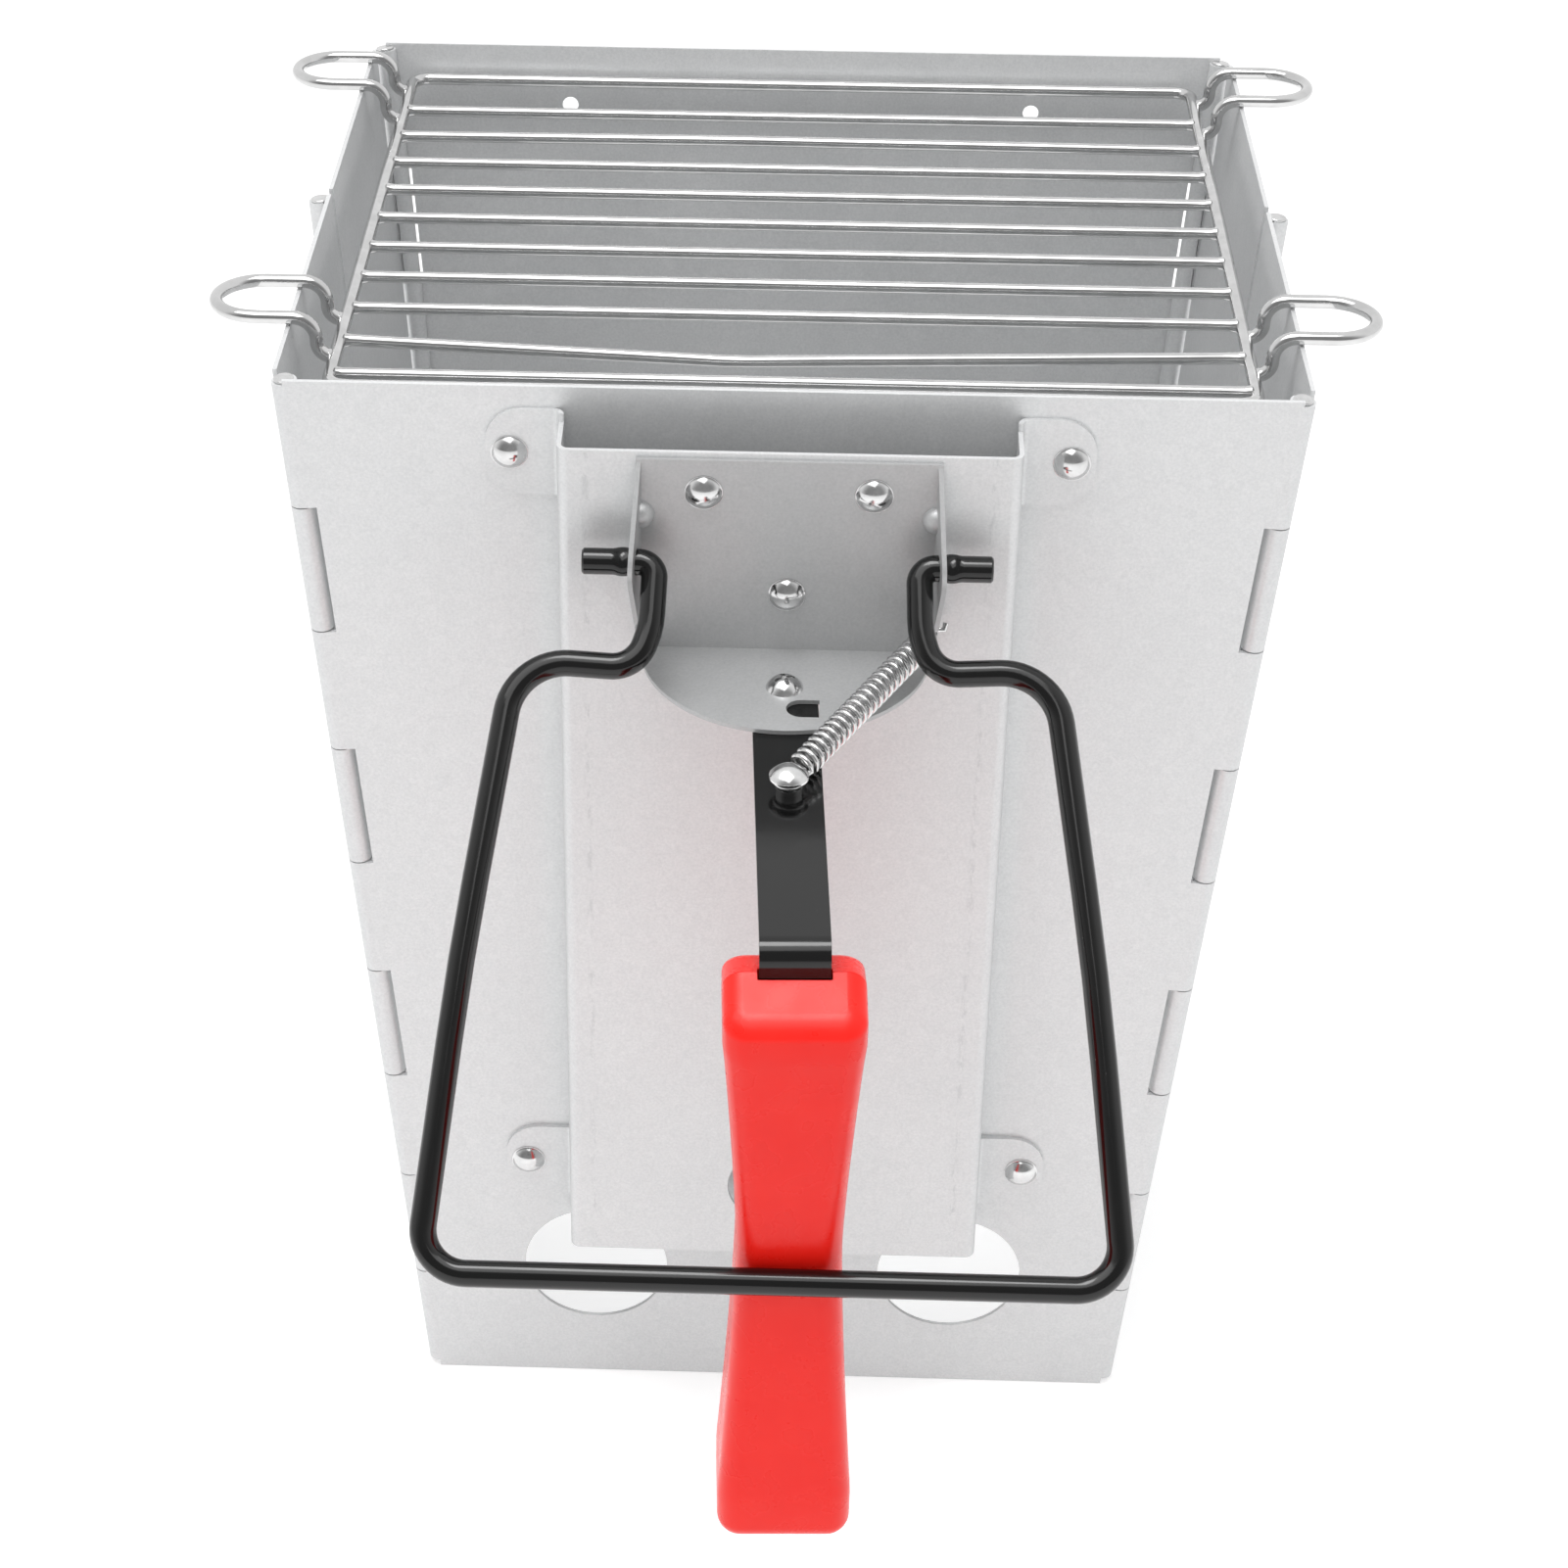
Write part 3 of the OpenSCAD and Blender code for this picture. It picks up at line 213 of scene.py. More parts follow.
ROD_WELD_STEPS = (0.7 * MM, 1.6 * MM)
KINKS = {1: -7.2 * MM, 8: 1.1 * MM}
KINK_X = -13 * MM

# Heights of the fine relief in the materials
METAL_GRAIN = 0.05 * MM
PAINT_RIPPLE = 0.1 * MM
PLASTIC_RIPPLE = 0.08 * MM

# Camera, as it was found from the box's edges in the photograph: radians and metres,
# with the lens and the sensor in millimetres
CAMERA_AZIMUTH = 0.0328
CAMERA_ELEVATION = 0.53494
CAMERA_ROLL = 0.00727
CAMERA_DISTANCE = 0.96338
CAMERA_TARGET = Vector((-0.02504, 0, 0.12277))
FOCAL_LENGTH = 86.75
SENSOR_WIDTH = 36
LENS_SHIFT = (0.0628, 0.0025)
CLIP_START = 0.05

# Studio; the room darkens to ROOM_FRONT as a direction's Y goes down through ROOM_FADE
FLOOR_SIZE = 12
FLOOR_SINK = 0.2 * MM
FLOOR_COLOUR = (0.8, 0.8, 0.8, 1)
FLOOR_GLOW = 0.42
ROOM_LIGHT = 0.8
ROOM_FRONT = 0.3
ROOM_FADE = (-0.75, -0.1)
WHITE = (1, 1, 1, 1)

front_top_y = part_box("front_panel")[0].y
box_middle_y = front_top_y + TOP_DEPTH / 2
on_front = Matrix.Translation((0, front_top_y, BOX_HEIGHT)) @ Matrix.Rotation(FRONT_LEAN, 4, "X")
joints = {joint["name"]: joint for joint in frame["joints"]}


# Shapes


def spaced(start, stop, step):
    count = max(1, round(abs(stop - start) / step))
    return [start + (stop - start) * k / count for k in range(count + 1)]


def arc_points(a, b, c, radius, step):
    """The rounded corner at b between the lines from a and to c."""
    u = (b - a).normalized()
    v = (c - b).normalized()
    turn = u.angle(v)
    if turn < 1e-4:
        return [b]
    axis = u.cross(v).normalized()
    start = b - u * radius * math.tan(turn / 2)
    centre = start + axis.cross(u) * radius
    steps = max(2, math.ceil(turn / step))
    return [
        centre + Matrix.Rotation(turn * k / steps, 3, axis) @ (start - centre)
        for k in range(steps + 1)
    ]


def rounded(points, radii, step=math.radians(7)):
    """A path through points, with a radius at each inner one."""
    points = [Vector(p) for p in points]
    path = [points[0]]
    for a, b, c, radius in zip(points, points[1:], points[2:], radii):
        path += arc_points(a, b, c, radius, step)
    return path + [points[-1]]


def closed_rounded(points, radius, step=math.radians(7)):
    points = [Vector(p) for p in points]
    path = []
    for i, b in enumerate(points):
        path += arc_points(points[i - 1], b, points[(i + 1) % len(points)], radius, step)
    return path


def sweep(bm, path, size, sides=16, closed=False, up=(0, 0, 1)):
    """Adds a tube of radius size(i) = (across, other) along a path to bm."""
    count = len(path)
    rings = []
    across = None
    for i, point in enumerate(path):
        after = path[(i + 1) % count] if closed or i + 1 < count else point
        before = path[i - 1] if closed or i else point
        along = (after - before).normalized()
        if across is None:
            across = along.cross(Vector(up)).normalized()
        across = (across - along * across.dot(along)).normalized()
        other = along.cross(across)
        first, second = size(i)
        ring = []
        for k in range(sides):
            angle = 2 * math.pi * k / sides
            offset = across * math.cos(angle) * first + other * math.sin(angle) * second
            ring.append(bm.verts.new(point + offset))
        rings.append(ring)
    spans = count if closed else count - 1
    for i in range(spans):
        a, b = rings[i], rings[(i + 1) % count]
        for k in range(sides):
            n = (k + 1) % sides
            bm.faces.new((a[k], a[n], b[n], b[k]))
    if not closed:
        bm.faces.new(list(reversed(rings[0])))
        bm.faces.new(rings[-1])


def even(radius):
    return lambda i: (radius, radius)


def with_cut_ends(path, bevel):
    """The path with an extra point a bevel's depth in from each end."""
    first = (path[1] - path[0]).normalized() * bevel
    last = (path[-2] - path[-1]).normalized() * bevel
    return [path[0], path[0] + first] + path[1:-1] + [path[-1] + last, path[-1]]


def lathe(bm, profile, place, sides=32):
    """Turns (radius, height) points about place's Z axis; a radius of 0 is a tip."""
    rings = []
    for radius, height in profile:
        if radius == 0:
            rings.append([bm.verts.new(place @ Vector((0, 0, height)))])
            continue
        ring = []
        for k in range(sides):
            angle = 2 * math.pi * k / sides
            point = Vector((radius * math.cos(angle), radius * math.sin(angle), height))
            ring.append(bm.verts.new(place @ point))
        rings.append(ring)
    for a, b in zip(rings, rings[1:]):
        for k in range(sides):
            n = (k + 1) % sides
            corners = [a[k % len(a)], a[n % len(a)], b[n % len(b)], b[k % len(b)]]
            face = list(dict.fromkeys(corners))
            if len(face) > 2:
                bm.faces.new(face)


def new_object(name, bm):
    """Turns bm into an object of the scene."""
    mesh = bpy.data.meshes.new(name)
    bm.to_mesh(mesh)
    bm.free()
    item = bpy.data.objects.new(name, mesh)
    bpy.context.scene.collection.objects.link(item)
    return item


def made(name, bm, material, body, nodes, sharp=40):
    """Turns bm into a piece that rides on a body and stands for CAD nodes."""
    bmesh.ops.recalc_face_normals(bm, faces=bm.faces)
    piece = new_object(name, bm)
    mesh = piece.data
    mesh.polygons.foreach_set("use_smooth", [True] * len(mesh.polygons))
    mesh.set_sharp_from_angle(angle=math.radians(sharp))
    mesh.materials.append(material)
    if body:
        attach(piece, body)
    if nodes:
        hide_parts(*nodes)
    return piece


def ease_edges(piece, width, segments=2):
    """Rounds the cut edges a little and keeps the shading of flat faces flat."""
    bevel = piece.modifiers.new("eased_edges", "BEVEL")
    bevel.width = width
    bevel.segments = segments
    bevel.limit_method = "ANGLE"
    bevel.angle_limit = math.radians(50)
    bevel.use_clamp_overlap = True
    weighted = piece.modifiers.new("flat_faces_stay_flat", "WEIGHTED_NORMAL")
    weighted.weight = 100
    weighted.keep_sharp = True


def softened(node, material, width, segments=2):
    """A copy of a CAD node's solid with its cut edges eased, which stands for the node."""
    solid = frame["nodes"][node]
    bm = bmesh.new()
    bm.from_mesh(solid.data)
    bmesh.ops.remove_doubles(bm, verts=bm.verts, dist=2e-6)
    flat = math.radians(0.4)
    bmesh.ops.dissolve_limit(bm, angle_limit=flat, verts=bm.verts, edges=bm.edges)
    body = solid["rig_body"]
    piece = made(node + "_finished", bm, material, body, [node], sharp=32)
    ease_edges(piece, width, segments)


# Materials


def set_range(node, *values):
    for key, value in zip(("From Min", "From Max", "To Min", "To Max"), values):
        node.inputs[key].default_value = value


class Look:
    """A node material with helpers for patterns in the object's own coordinates."""

    def __init__(self, name, **inputs):
        self.material = bpy.data.materials.new(name)
        self.material.use_nodes = True
        self.nodes = self.material.node_tree.nodes
        self.links = self.material.node_tree.links
        self.shader = self.nodes["Principled BSDF"]
        for key, value in inputs.items():
            self.shader.inputs[key.replace("_", " ")].default_value = value
        self.place = self.nodes.new("ShaderNodeTexCoord").outputs["Object"]

    def noise(self, scale, detail=2.0, roughness=0.5, stretch=None):
        node = self.nodes.new("ShaderNodeTexNoise")
        node.inputs["Scale"].default_value = scale
        node.inputs["Detail"].default_value = detail
        node.inputs["Roughness"].default_value = roughness
        place = self.place
        if stretch:
            mapping = self.nodes.new("ShaderNodeMapping")
            mapping.inputs["Scale"].default_value = stretch
            self.links.new(place, mapping.inputs["Vector"])
            place = mapping.outputs["Vector"]
        self.links.new(place, node.inputs["Vector"])
        return node.outputs["Fac"]

    def cells(self, scale):
        node = self.nodes.new("ShaderNodeTexVoronoi")
        node.inputs["Scale"].default_value = scale
        self.links.new(self.place, node.inputs["Vector"])
        tone = self.nodes.new("ShaderNodeRGBToBW")
        self.links.new(node.outputs["Color"], tone.inputs[0])
        return tone.outputs[0]

    def vary(self, noise, new_low, new_high):
        """Spreads the usual band of a noise over new values."""
        return self.span(noise, 0.3, 0.7, new_low, new_high)

    def span(self, source, low, high, new_low, new_high):
        node = self.nodes.new("ShaderNodeMapRange")
        set_range(node, low, high, new_low, new_high)
        self.links.new(source, node.inputs["Value"])
        return node.outputs["Result"]

    def math(self, operation, a, b=None):
        node = self.nodes.new("ShaderNodeMath")
        node.operation = operation
        for socket, value in zip(node.inputs, (a, b)):
            if value is None:
                continue
            if isinstance(value, (int, float)):
                socket.default_value = value
            else:
                self.links.new(value, socket)
        return node.outputs[0]

    def axis(self, name):
        node = self.nodes.new("ShaderNodeSeparateXYZ")
        self.links.new(self.place, node.inputs[0])
        return node.outputs[name]

    def mix(self, factor, a, b):
        node = self.nodes.new("ShaderNodeMix")
        node.data_type = "RGBA"
        self.links.new(factor, node.inputs["Factor"])
        for socket, value in zip((node.inputs[6], node.inputs[7]), (a, b)):
            if isinstance(value, tuple):
                socket.default_value = (*value, 1)
            else:
                self.links.new(value, socket)
        return node.outputs[2]

    def set(self, key, source):
        self.links.new(source, self.shader.inputs[key])

    def bump(self, source, strength, distance):
        node = self.nodes.new("ShaderNodeBump")
        node.inputs["Strength"].default_value = strength
        node.inputs["Distance"].default_value = distance
        self.links.new(source, node.inputs["Height"])
        self.links.new(node.outputs["Normal"], self.shader.inputs["Normal"])


def grey(value, tint=(1.0, 1.0, 1.0)):
    return tuple(value * t for t in tint)


def galvanised(name, level=1.0, scuffed=False):
    """Zinc-coated sheet: fine grain, faint crystals and broad clouds; a level under 1 is painted
    shade.
    """
    look = Look(name, Metallic=0.45)
    grain = look.noise(1500, 3, 0.7)
    cloud = look.noise(22, 4, 0.6, stretch=(1, 1, 0.6))
    crystal = look.cells(420)
    tone = look.vary(grain, 0.93, 1.05)
    tone = look.math("MULTIPLY", tone, look.vary(cloud, 0.96, 1.03))
    tone = look.math("MULTIPLY", tone, look.span(crystal, 0.0, 1.0, 0.98, 1.015))
    if scuffed:
        x = look.math("ABSOLUTE", look.axis("X"))
        offset = look.math("ABSOLUTE", look.math("SUBTRACT", x, CHANNEL_WIDTH / 2 - SCUFF_IN))
        line = look.span(offset, 0.0, SCUFF_WIDTH, 1.0, 0.0)
        speckle = look.span(look.noise(700, 3, 0.8, stretch=(1, 1, 0.25)), 0.5, 0.62, 0.0, 1.0)
        mark = look.math("MULTIPLY", line, speckle)
        tone = look.math("MULTIPLY", tone, look.span(mark, 0.0, 1.0, 1.0, 0.86))
    dark = grey(0.6 * level, (0.985, 1.0, 1.01))
    light = grey(0.8 * level, (0.995, 1.0, 1.004))
    look.set("Base Color", look.mix(look.span(tone, 0.86, 1.12, 0.0, 1.0), dark, light))
    look.set("Roughness", look.vary(cloud, 0.4, 0.5))
    look.bump(grain, 0.1, METAL_GRAIN)
    return look.material


def zinc_plated():
    look = Look("zinc_plated", Metallic=1.0)
    smear = look.noise(260, 3, 0.6)
    look.set("Base Color", look.mix(look.vary(smear, 0.0, 1.0), grey(0.58), grey(0.74)))
    look.set("Roughness", look.vary(smear, 0.1, 0.22))
    look.bump(look.noise(500, 2), 0.12, METAL_GRAIN)
    return look.material


def chromed_wire():
    look = Look("chromed_wire", Metallic=1.0)
    smear = look.noise(120, 3, 0.6)
    look.set("Base Color", look.mix(look.span(smear, 0.35, 0.65, 0, 1), grey(0.56), grey(0.66)))
    look.set("Roughness", look.vary(smear, 0.05, 0.13))
    look.bump(look.noise(350, 2), 0.05, METAL_GRAIN)
    return look.material


def spring_wire():
    look = Look("spring_wire", Metallic=1.0)
    smear = look.noise(400, 2)
    look.set("Base Color", look.mix(look.vary(smear, 0, 1), grey(0.56), grey(0.76)))
    look.set("Roughness", look.vary(smear, 0.12, 0.24))
    return look.material


def black_enamel():
    """Thick gloss paint with a faint ripple and a few specks of dust."""
    look = Look("black_enamel", Coat_Weight=0.12, Coat_Roughness=0.06, Specular_IOR_Level=0.42)
    dust = look.span(look.noise(900, 2, 0.9), 0.74, 0.8, 0.0, 1.0)
    look.set("Base Color", look.mix(dust, grey(0.004), grey(0.07)))
    look.set("Roughness", look.vary(look.noise(90, 3), 0.1, 0.18))
    look.bump(look.noise(300, 2), 0.08, PAINT_RIPPLE)
    return look.material


def red_plastic():
    """Moulded plastic with a soft gloss, a faint ripple and hairline scratches."""
    look = Look("red_plastic", Specular_IOR_Level=0.33)
    cloud = look.noise(45, 3, 0.6)
    deep, light = (0.93, 0.010, 0.005), (0.98, 0.017, 0.009)
    look.set("Base Color", look.mix(look.vary(cloud, 0, 1), deep, light))
    look.set("Roughness", look.vary(look.noise(160, 3), 0.24, 0.34))
    scratch = look.span(look.noise(220, 2, 0.6, stretch=(0.25, 1, 3)), 0.7, 0.74, 0.0, 1.0)
    ripple = look.math("ADD", look.noise(240, 2), look.math("MULTIPLY", scratch, 0.4))
    look.bump(ripple, 0.06, PLASTIC_RIPPLE)
    return look.material


GALVANISED = galvanised("galvanised_sheet")
CHANNEL = galvanised("galvanised_channel", scuffed=True)
# The bracket's sheet is painted darker (level 0.69): painted shade for the shadow it sits in.
BRACKET_PAINTED_SHADE = galvanised("galvanised_bracket_painted_shade", level=0.69)
ZINC = zinc_plated()
CHROME = chromed_wire()
SPRING = spring_wire()
BLACK = black_enamel()
RED = red_plastic()


# Box, channel and bracket


def sheet_pieces():
    for side in ("front", "back", "left_front", "left_rear", "right_front", "right_rear"):
        softened(side + "_panel", GALVANISED, SHEET_EASE)
    softened("handle_channel", CHANNEL, SHEET_EASE)
    softened("handle_bracket", BRACKET_PAINTED_SHADE, SHEET_EASE)


def small_hardware():
    pins = ("front_left", "front_right", "rear_left", "rear_right", "middle_left", "middle_right")
    for pin in pins:
        softened(pin + "_pin", ZINC, PIN_EASE)
    for node in ("pivot_screw", "pivot_washer", "pivot_nut", "grip_screws", "spring_post"):
        softened(node, ZINC, SCREW_EASE)


def rivet_dome():
    """(radius, height) points of a snapped dome, from its rim to its top."""
    head = RIVET_HEAD / 2
    sphere = (head * head + RIVET_HEIGHT * RIVET_HEIGHT) / (2 * RIVET_HEIGHT)
    points = [(head, 0.0), (head, RIVET_LIP)]
    steps = 10
    for k in range(1, steps):
        radius = head * math.cos(math.pi / 2 * k / steps)
        dome = math.sqrt(sphere * sphere - radius * radius) - (sphere - RIVET_HEIGHT)
        points.append((radius, max(dome, RIVET_LIP)))
    return points + [(0, RIVET_HEIGHT)]


def rivet_tail():
    """(radius, height) points of the shank through two sheets and its flattened tail."""
    shank, tail = RIVET_SHANK / 2, RIVET_TAIL / 2
    back, end = -2 * SHEET, -2 * SHEET - RIVET_TAIL_HEIGHT
    ease_in, ease_up = RIVET_TAIL_EASE
    points = [(shank, 0.0), (shank, back), (tail, back), (tail, end + ease_up)]
    return points + [(tail - ease_in, end), (0, end)]


def rivets(name, node, out, spots):
    bm = bmesh.new()
    for x, down in spots:
        place = on_front @ Matrix.Translation((x, -out, -down))
        place = place @ Matrix.Rotation(math.pi / 2, 4, "X")
        lathe(bm, rivet_dome(), place)
        lathe(bm, rivet_tail(), place)
    made(name, bm, ZINC, "front", [node])


# Bail


def bail_angle():
    bar_out = PLATE_OUT + STRAP_REACH - STRAP / 2 + WAIST_DEPTH / 2 + BAR_GAP + BAIL_WIRE / 2
    return math.asin((bar_out - BAIL_OUT) / BAIL_LENGTH)


def bail():
    """One wire: two ends in the flanges, two shoulders, two bowed legs and the bar."""
    place = (
        Matrix.Translation(joints["bail_swing"]["pos_m"])
        @ Matrix.Rotation(FRONT_LEAN, 4, "X")
        @ Matrix.Rotation(-bail_angle(), 4, "X")
    )
    bow = ((SHOULDER[0] + BAR_X) / 2 + LEG_BOW, (SHOULDER[1] - BAIL_LENGTH) / 2)
    half = [(BAIL_TIP_X, 0), (LEG_X, 0), LEG_TURN, INNER_CORNER, SHOULDER, bow]
    half.append((BAR_X, -BAIL_LENGTH))
    radii = [JOURNAL_BEND, LEG_TURN_BEND, INNER_BEND, SHOULDER_BEND, LEG_BOW_BEND, BAR_BEND]
    right = rounded([(x, 0, z) for x, z in half] + [(0, 0, -BAIL_LENGTH)], radii)
    journal = [Vector((x, 0, 0)) for x in spaced(BAIL_TIP_X, PINCH_POINTS_FROM, PINCH_POINT_STEP)]
    right = journal + right[1:-1]
    path = right + [Vector((-p.x, 0, p.z)) for p in reversed(right)]
    path = with_cut_ends(path, CUT_BEVEL)
    ends = {0, len(path) - 1}

    def size(i):
        """Flattened by the pinches, and a little smaller at the cut ends."""
        radius = BAIL_WIRE / 2 - (CUT_BEVEL if i in ends else 0)
        pinch = 0.0
        if abs(path[i].z) < JOURNAL_HEIGHT:
            pinch = max(0.0, 1 - (abs(abs(path[i].x) - PINCH_X) / PINCH_REACH) ** 2)
        wide = radius + (PINCH_WIDTH / 2 - BAIL_WIRE / 2) * pinch
        thin = radius + (PINCH_DEPTH / 2 - BAIL_WIRE / 2) * pinch
        return wide, thin

    bm = bmesh.new()
    sweep(bm, path, size, sides=24, up=(0, 1, 0))
    bmesh.ops.transform(bm, matrix=place, verts=bm.verts)
    made("bail_wire", bm, BLACK, "bail", ["bail_handle"])


# Handle

on_pivot = (
    Matrix.Translation(joints["handle_swivel"]["pos_m"])
    @ Matrix.Rotation(FRONT_LEAN, 4, "X")
    @ Matrix.Rotation(REST_TURN, 4, "Z")
)
on_grip = on_pivot @ Matrix.Translation(
    (0, -(STRAP_REACH - PIVOT_REACH) + STRAP / 2, -STRAP - GRIP_DROP)
)


def grip_share(depth):
    """From 0 at the waist to 1 toward the grip's ends."""
    span = GRIP_WAIST_AT if depth < GRIP_WAIST_AT else GRIP_LENGTH - GRIP_WAIST_AT
    return min(1.0, abs(depth - GRIP_WAIST_AT) / span / GRIP_EASE_SPAN) ** GRIP_EASE_POWER


def grip_ring(depth, inset):
    """(x, y) points of the grip's outline at a depth, shrunk by an inset.

    Each side has a point in its middle, for the ridge of the roof.
    """
    share = grip_share(depth)
    half_w = (GRIP_WAIST_WIDTH + (GRIP_WIDTH - GRIP_WAIST_WIDTH) * share) / 2 - inset
    half_t = (WAIST_DEPTH + (GRIP_DEPTH - WAIST_DEPTH) * share) / 2 - inset
    radius = max(min(GRIP_RADIUS, half_t, half_w) - inset, GRIP_LEAST_CORNER)
    radius = min(radius, half_t)
    steps = 8
    points = []
    for quarter, (sx, sy) in enumerate(((1, 1), (-1, 1), (-1, -1), (1, -1))):
        for k in range(steps + 1):
            angle = math.pi / 2 * (quarter + k / steps)
            x = sx * (half_w - radius) + radius * math.cos(angle)
            y = sy * (half_t - radius) + radius * math.sin(angle)
            points.append((x, y))
        if quarter in (1, 3):
            points.append((sx * half_w, 0))
    return points


def grip_stations():
    """(depth, inset) of each ring, from the ridge of the roof to the flat end."""
    stations = [(0.0, GRIP_TOP_ROUND + k * ROOF_STEP) for k in range(5, 0, -1)]
    stations.append((0.0, GRIP_TOP_ROUND + ROOF_EDGE))
    steps = 7
    for k in range(steps + 1):
        angle = math.pi / 2 * k / steps
        inset = GRIP_TOP_ROUND * (1 - math.sin(angle))
        stations.append((GRIP_TOP_ROUND * (1 - math.cos(angle)), inset))
    low = GRIP_LENGTH - GRIP_END_ROUND
    stations += [(depth, 0.0) for depth in spaced(GRIP_TOP_ROUND, low, SIDE_STEP)[1:]]
    for k in range(1, steps + 1):
        angle = math.pi / 2 * k / steps
        inset = GRIP_END_ROUND * (1 - math.cos(angle))
        stations.append((low + GRIP_END_ROUND * math.sin(angle), inset))
    stations += [(GRIP_LENGTH, GRIP_END_ROUND + k * END_STEP) for k in range(1, 4)]
    return stations


def grip_mesh():
    bm = bmesh.new()
    rings = []
    for depth, inset in grip_stations():
        fade = max(0.0, 1 - depth / GRIP_ROOF_FADE)
        ring = []
        for x, y in grip_ring(depth, inset):
            fall = GRIP_ROOF * abs(y) / (GRIP_DEPTH / 2) * fade
            ring.append(bm.verts.new((x, y, -depth - fall)))
        rings.append(ring)
    count = len(rings[0])
    for a, b in zip(rings, rings[1:]):
        for k in range(count):
            n = (k + 1) % count
            bm.faces.new((a[k], a[n], b[n], b[k]))
    bm.faces.new(rings[0])
    bm.faces.new(list(reversed(rings[-1])))
    bmesh.ops.remove_doubles(bm, verts=bm.verts, dist=1e-6)
    return bm


def block_cutter(low, high, place):
    """A hidden block, used once to cut a hollow."""
    bm = bmesh.new()
    bmesh.ops.create_cube(bm, size=1)
    middle = (Vector(low) + Vector(high)) / 2
    size = Vector(high) - Vector(low)
    bmesh.ops.transform(
        bm, matrix=place @ Matrix.Translation(middle) @ Matrix.Diagonal((*size, 1)), verts=bm.verts
    )
    return new_object("block_cutter", bm)


def round_cutter(radius, low, high, place):
    bm = bmesh.new()
    lathe(bm, [(0, low), (radius, low), (radius, high), (0, high)], place, 40)
    bmesh.ops.recalc_face_normals(bm, faces=bm.faces)
    return new_object("round_cutter", bm)


def cut(piece, blocks):
    """Applies a boolean cut for each block and removes the blocks."""
    for block in blocks:
        boolean = piece.modifiers.new("cut", "BOOLEAN")
        boolean.operation = "DIFFERENCE"
        boolean.solver = "EXACT"
        boolean.object = block
    graph = bpy.context.evaluated_depsgraph_get()
    mesh = bpy.data.meshes.new_from_object(piece.evaluated_get(graph))
    piece.modifiers.clear()
    old = piece.data
    piece.data = mesh
    bpy.data.meshes.remove(old)
    mesh.set_sharp_from_angle(angle=math.radians(40))
    for block in blocks:
        bpy.data.objects.remove(block)


def grip_half(name, node, side):
    """side is -1 for the front half and 1 for the back half."""
    bm = grip_mesh()
    bmesh.ops.bisect_plane(
        bm,
        geom=bm.verts[:] + bm.edges[:] + bm.faces[:],
        plane_co=(0, side * GRIP_PARTING, 0),
        plane_no=(0, -side, 0),
        clear_outer=True,
    )
    rim = [e for e in bm.edges if e.is_boundary]
    bmesh.ops.holes_fill(bm, edges=rim)
    bmesh.ops.transform(bm, matrix=on_grip, verts=bm.verts)
    piece = made(name, bm, RED, "handle", [node], sharp=50)
    half_w, half_t = STRAP_WIDTH / 2 + SLOT_SIDE_GAP, STRAP / 2 + SLOT_FACE_GAP
    low, high = (-half_w, -half_t, -TANG_LENGTH), (half_w, half_t, SLOT_ABOVE)
    blocks = [block_cutter(low, high, on_grip)]
    if side > 0:
        for depth in GRIP_SCREW_DEPTHS:
            turned = Matrix.Translation((0, 0, -depth)) @ Matrix.Rotation(-math.pi / 2, 4, "X")
            seat = WAIST_DEPTH / 2 - SCREW_SINK
            blocks.append(round_cutter(SCREW_SINK_RADIUS, seat, GRIP_DEPTH, on_grip @ turned))
    cut(piece, blocks)
    ease_edges(piece, GRIP_CUT_EASE)


def spring_path():
    """In the front wall's frame: a loop round the post, the coil, and a hook."""
    pivot_out = PLATE_OUT + PIVOT_REACH
    arm = POST_REACH - PIVOT_REACH
    post_out = pivot_out + arm * math.cos(REST_TURN)
    post = Vector((arm * math.sin(REST_TURN), -post_out, POST_HOOK_HEIGHT - STRAP_TOP))
    hook_x = FLANGE_X - SHEET / 2 + (HOOK_OUT - PLATE_OUT) * math.tan(FLANGE_SPLAY)
    hook = Vector((hook_x, -HOOK_OUT, -HOOK_DOWN))
    along = (hook - post).normalized()
    side = along.cross(Vector((0, 0, 1))).normalized()
    up = side.cross(along)
    loop_radius = (POST_NECK + SPRING_WIRE) / 2 + LOOP_GAP
    start = post + along * (loop_radius + LOOP_PAST)
    end = hook - along * HOOK_LENGTH
    radius = (SPRING_WIDTH - SPRING_WIRE) / 2
    path = []
    for degrees in range(-150, 150, 15):
        a = math.radians(degrees)
        path.append(post + (side * math.sin(a) - along * math.cos(a)) * loop_radius)
    steps = TURN_STEPS * SPRING_TURNS
    for k in range(steps + 1):
        a = 2 * math.pi * SPRING_TURNS * k / steps
        centre = start + (end - start) * k / steps
        path.append(centre + (side * math.cos(a) + up * math.sin(a)) * radius)
    path.append(hook - along * HOOK_LEAD + Vector((0, 0, HOOK_RISE)))
    path += [hook + step for step in HOOK_STEPS]
    return path, post, hook


def spring():
    path, post, hook = spring_path()
    bm = bmesh.new()
    sweep(bm, path, even(SPRING_WIRE / 2), sides=10, up=(0.2, 0.3, 0.93))
    bmesh.ops.transform(bm, matrix=on_front, verts=bm.verts)
    nodes = ["return_spring"]
    piece = made("return_spring_coil", bm, SPRING, None, nodes, sharp=60)
    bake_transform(piece)


def handle():
    softened("handle_strap", BLACK, STRAP_EASE, segments=3)
    grip_half("grip_front_shell", "grip_front", -1)
    grip_half("grip_back_shell", "grip_back", 1)
    spring()


# Grill

frame_low, frame_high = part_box("grill_frame")
frame_x = frame_high.x - FRAME_WIRE / 2
frame_front = frame_low.y + FRAME_WIRE / 2
frame_back = frame_high.y - FRAME_WIRE / 2
frame_z = (frame_low.z + frame_high.z) / 2


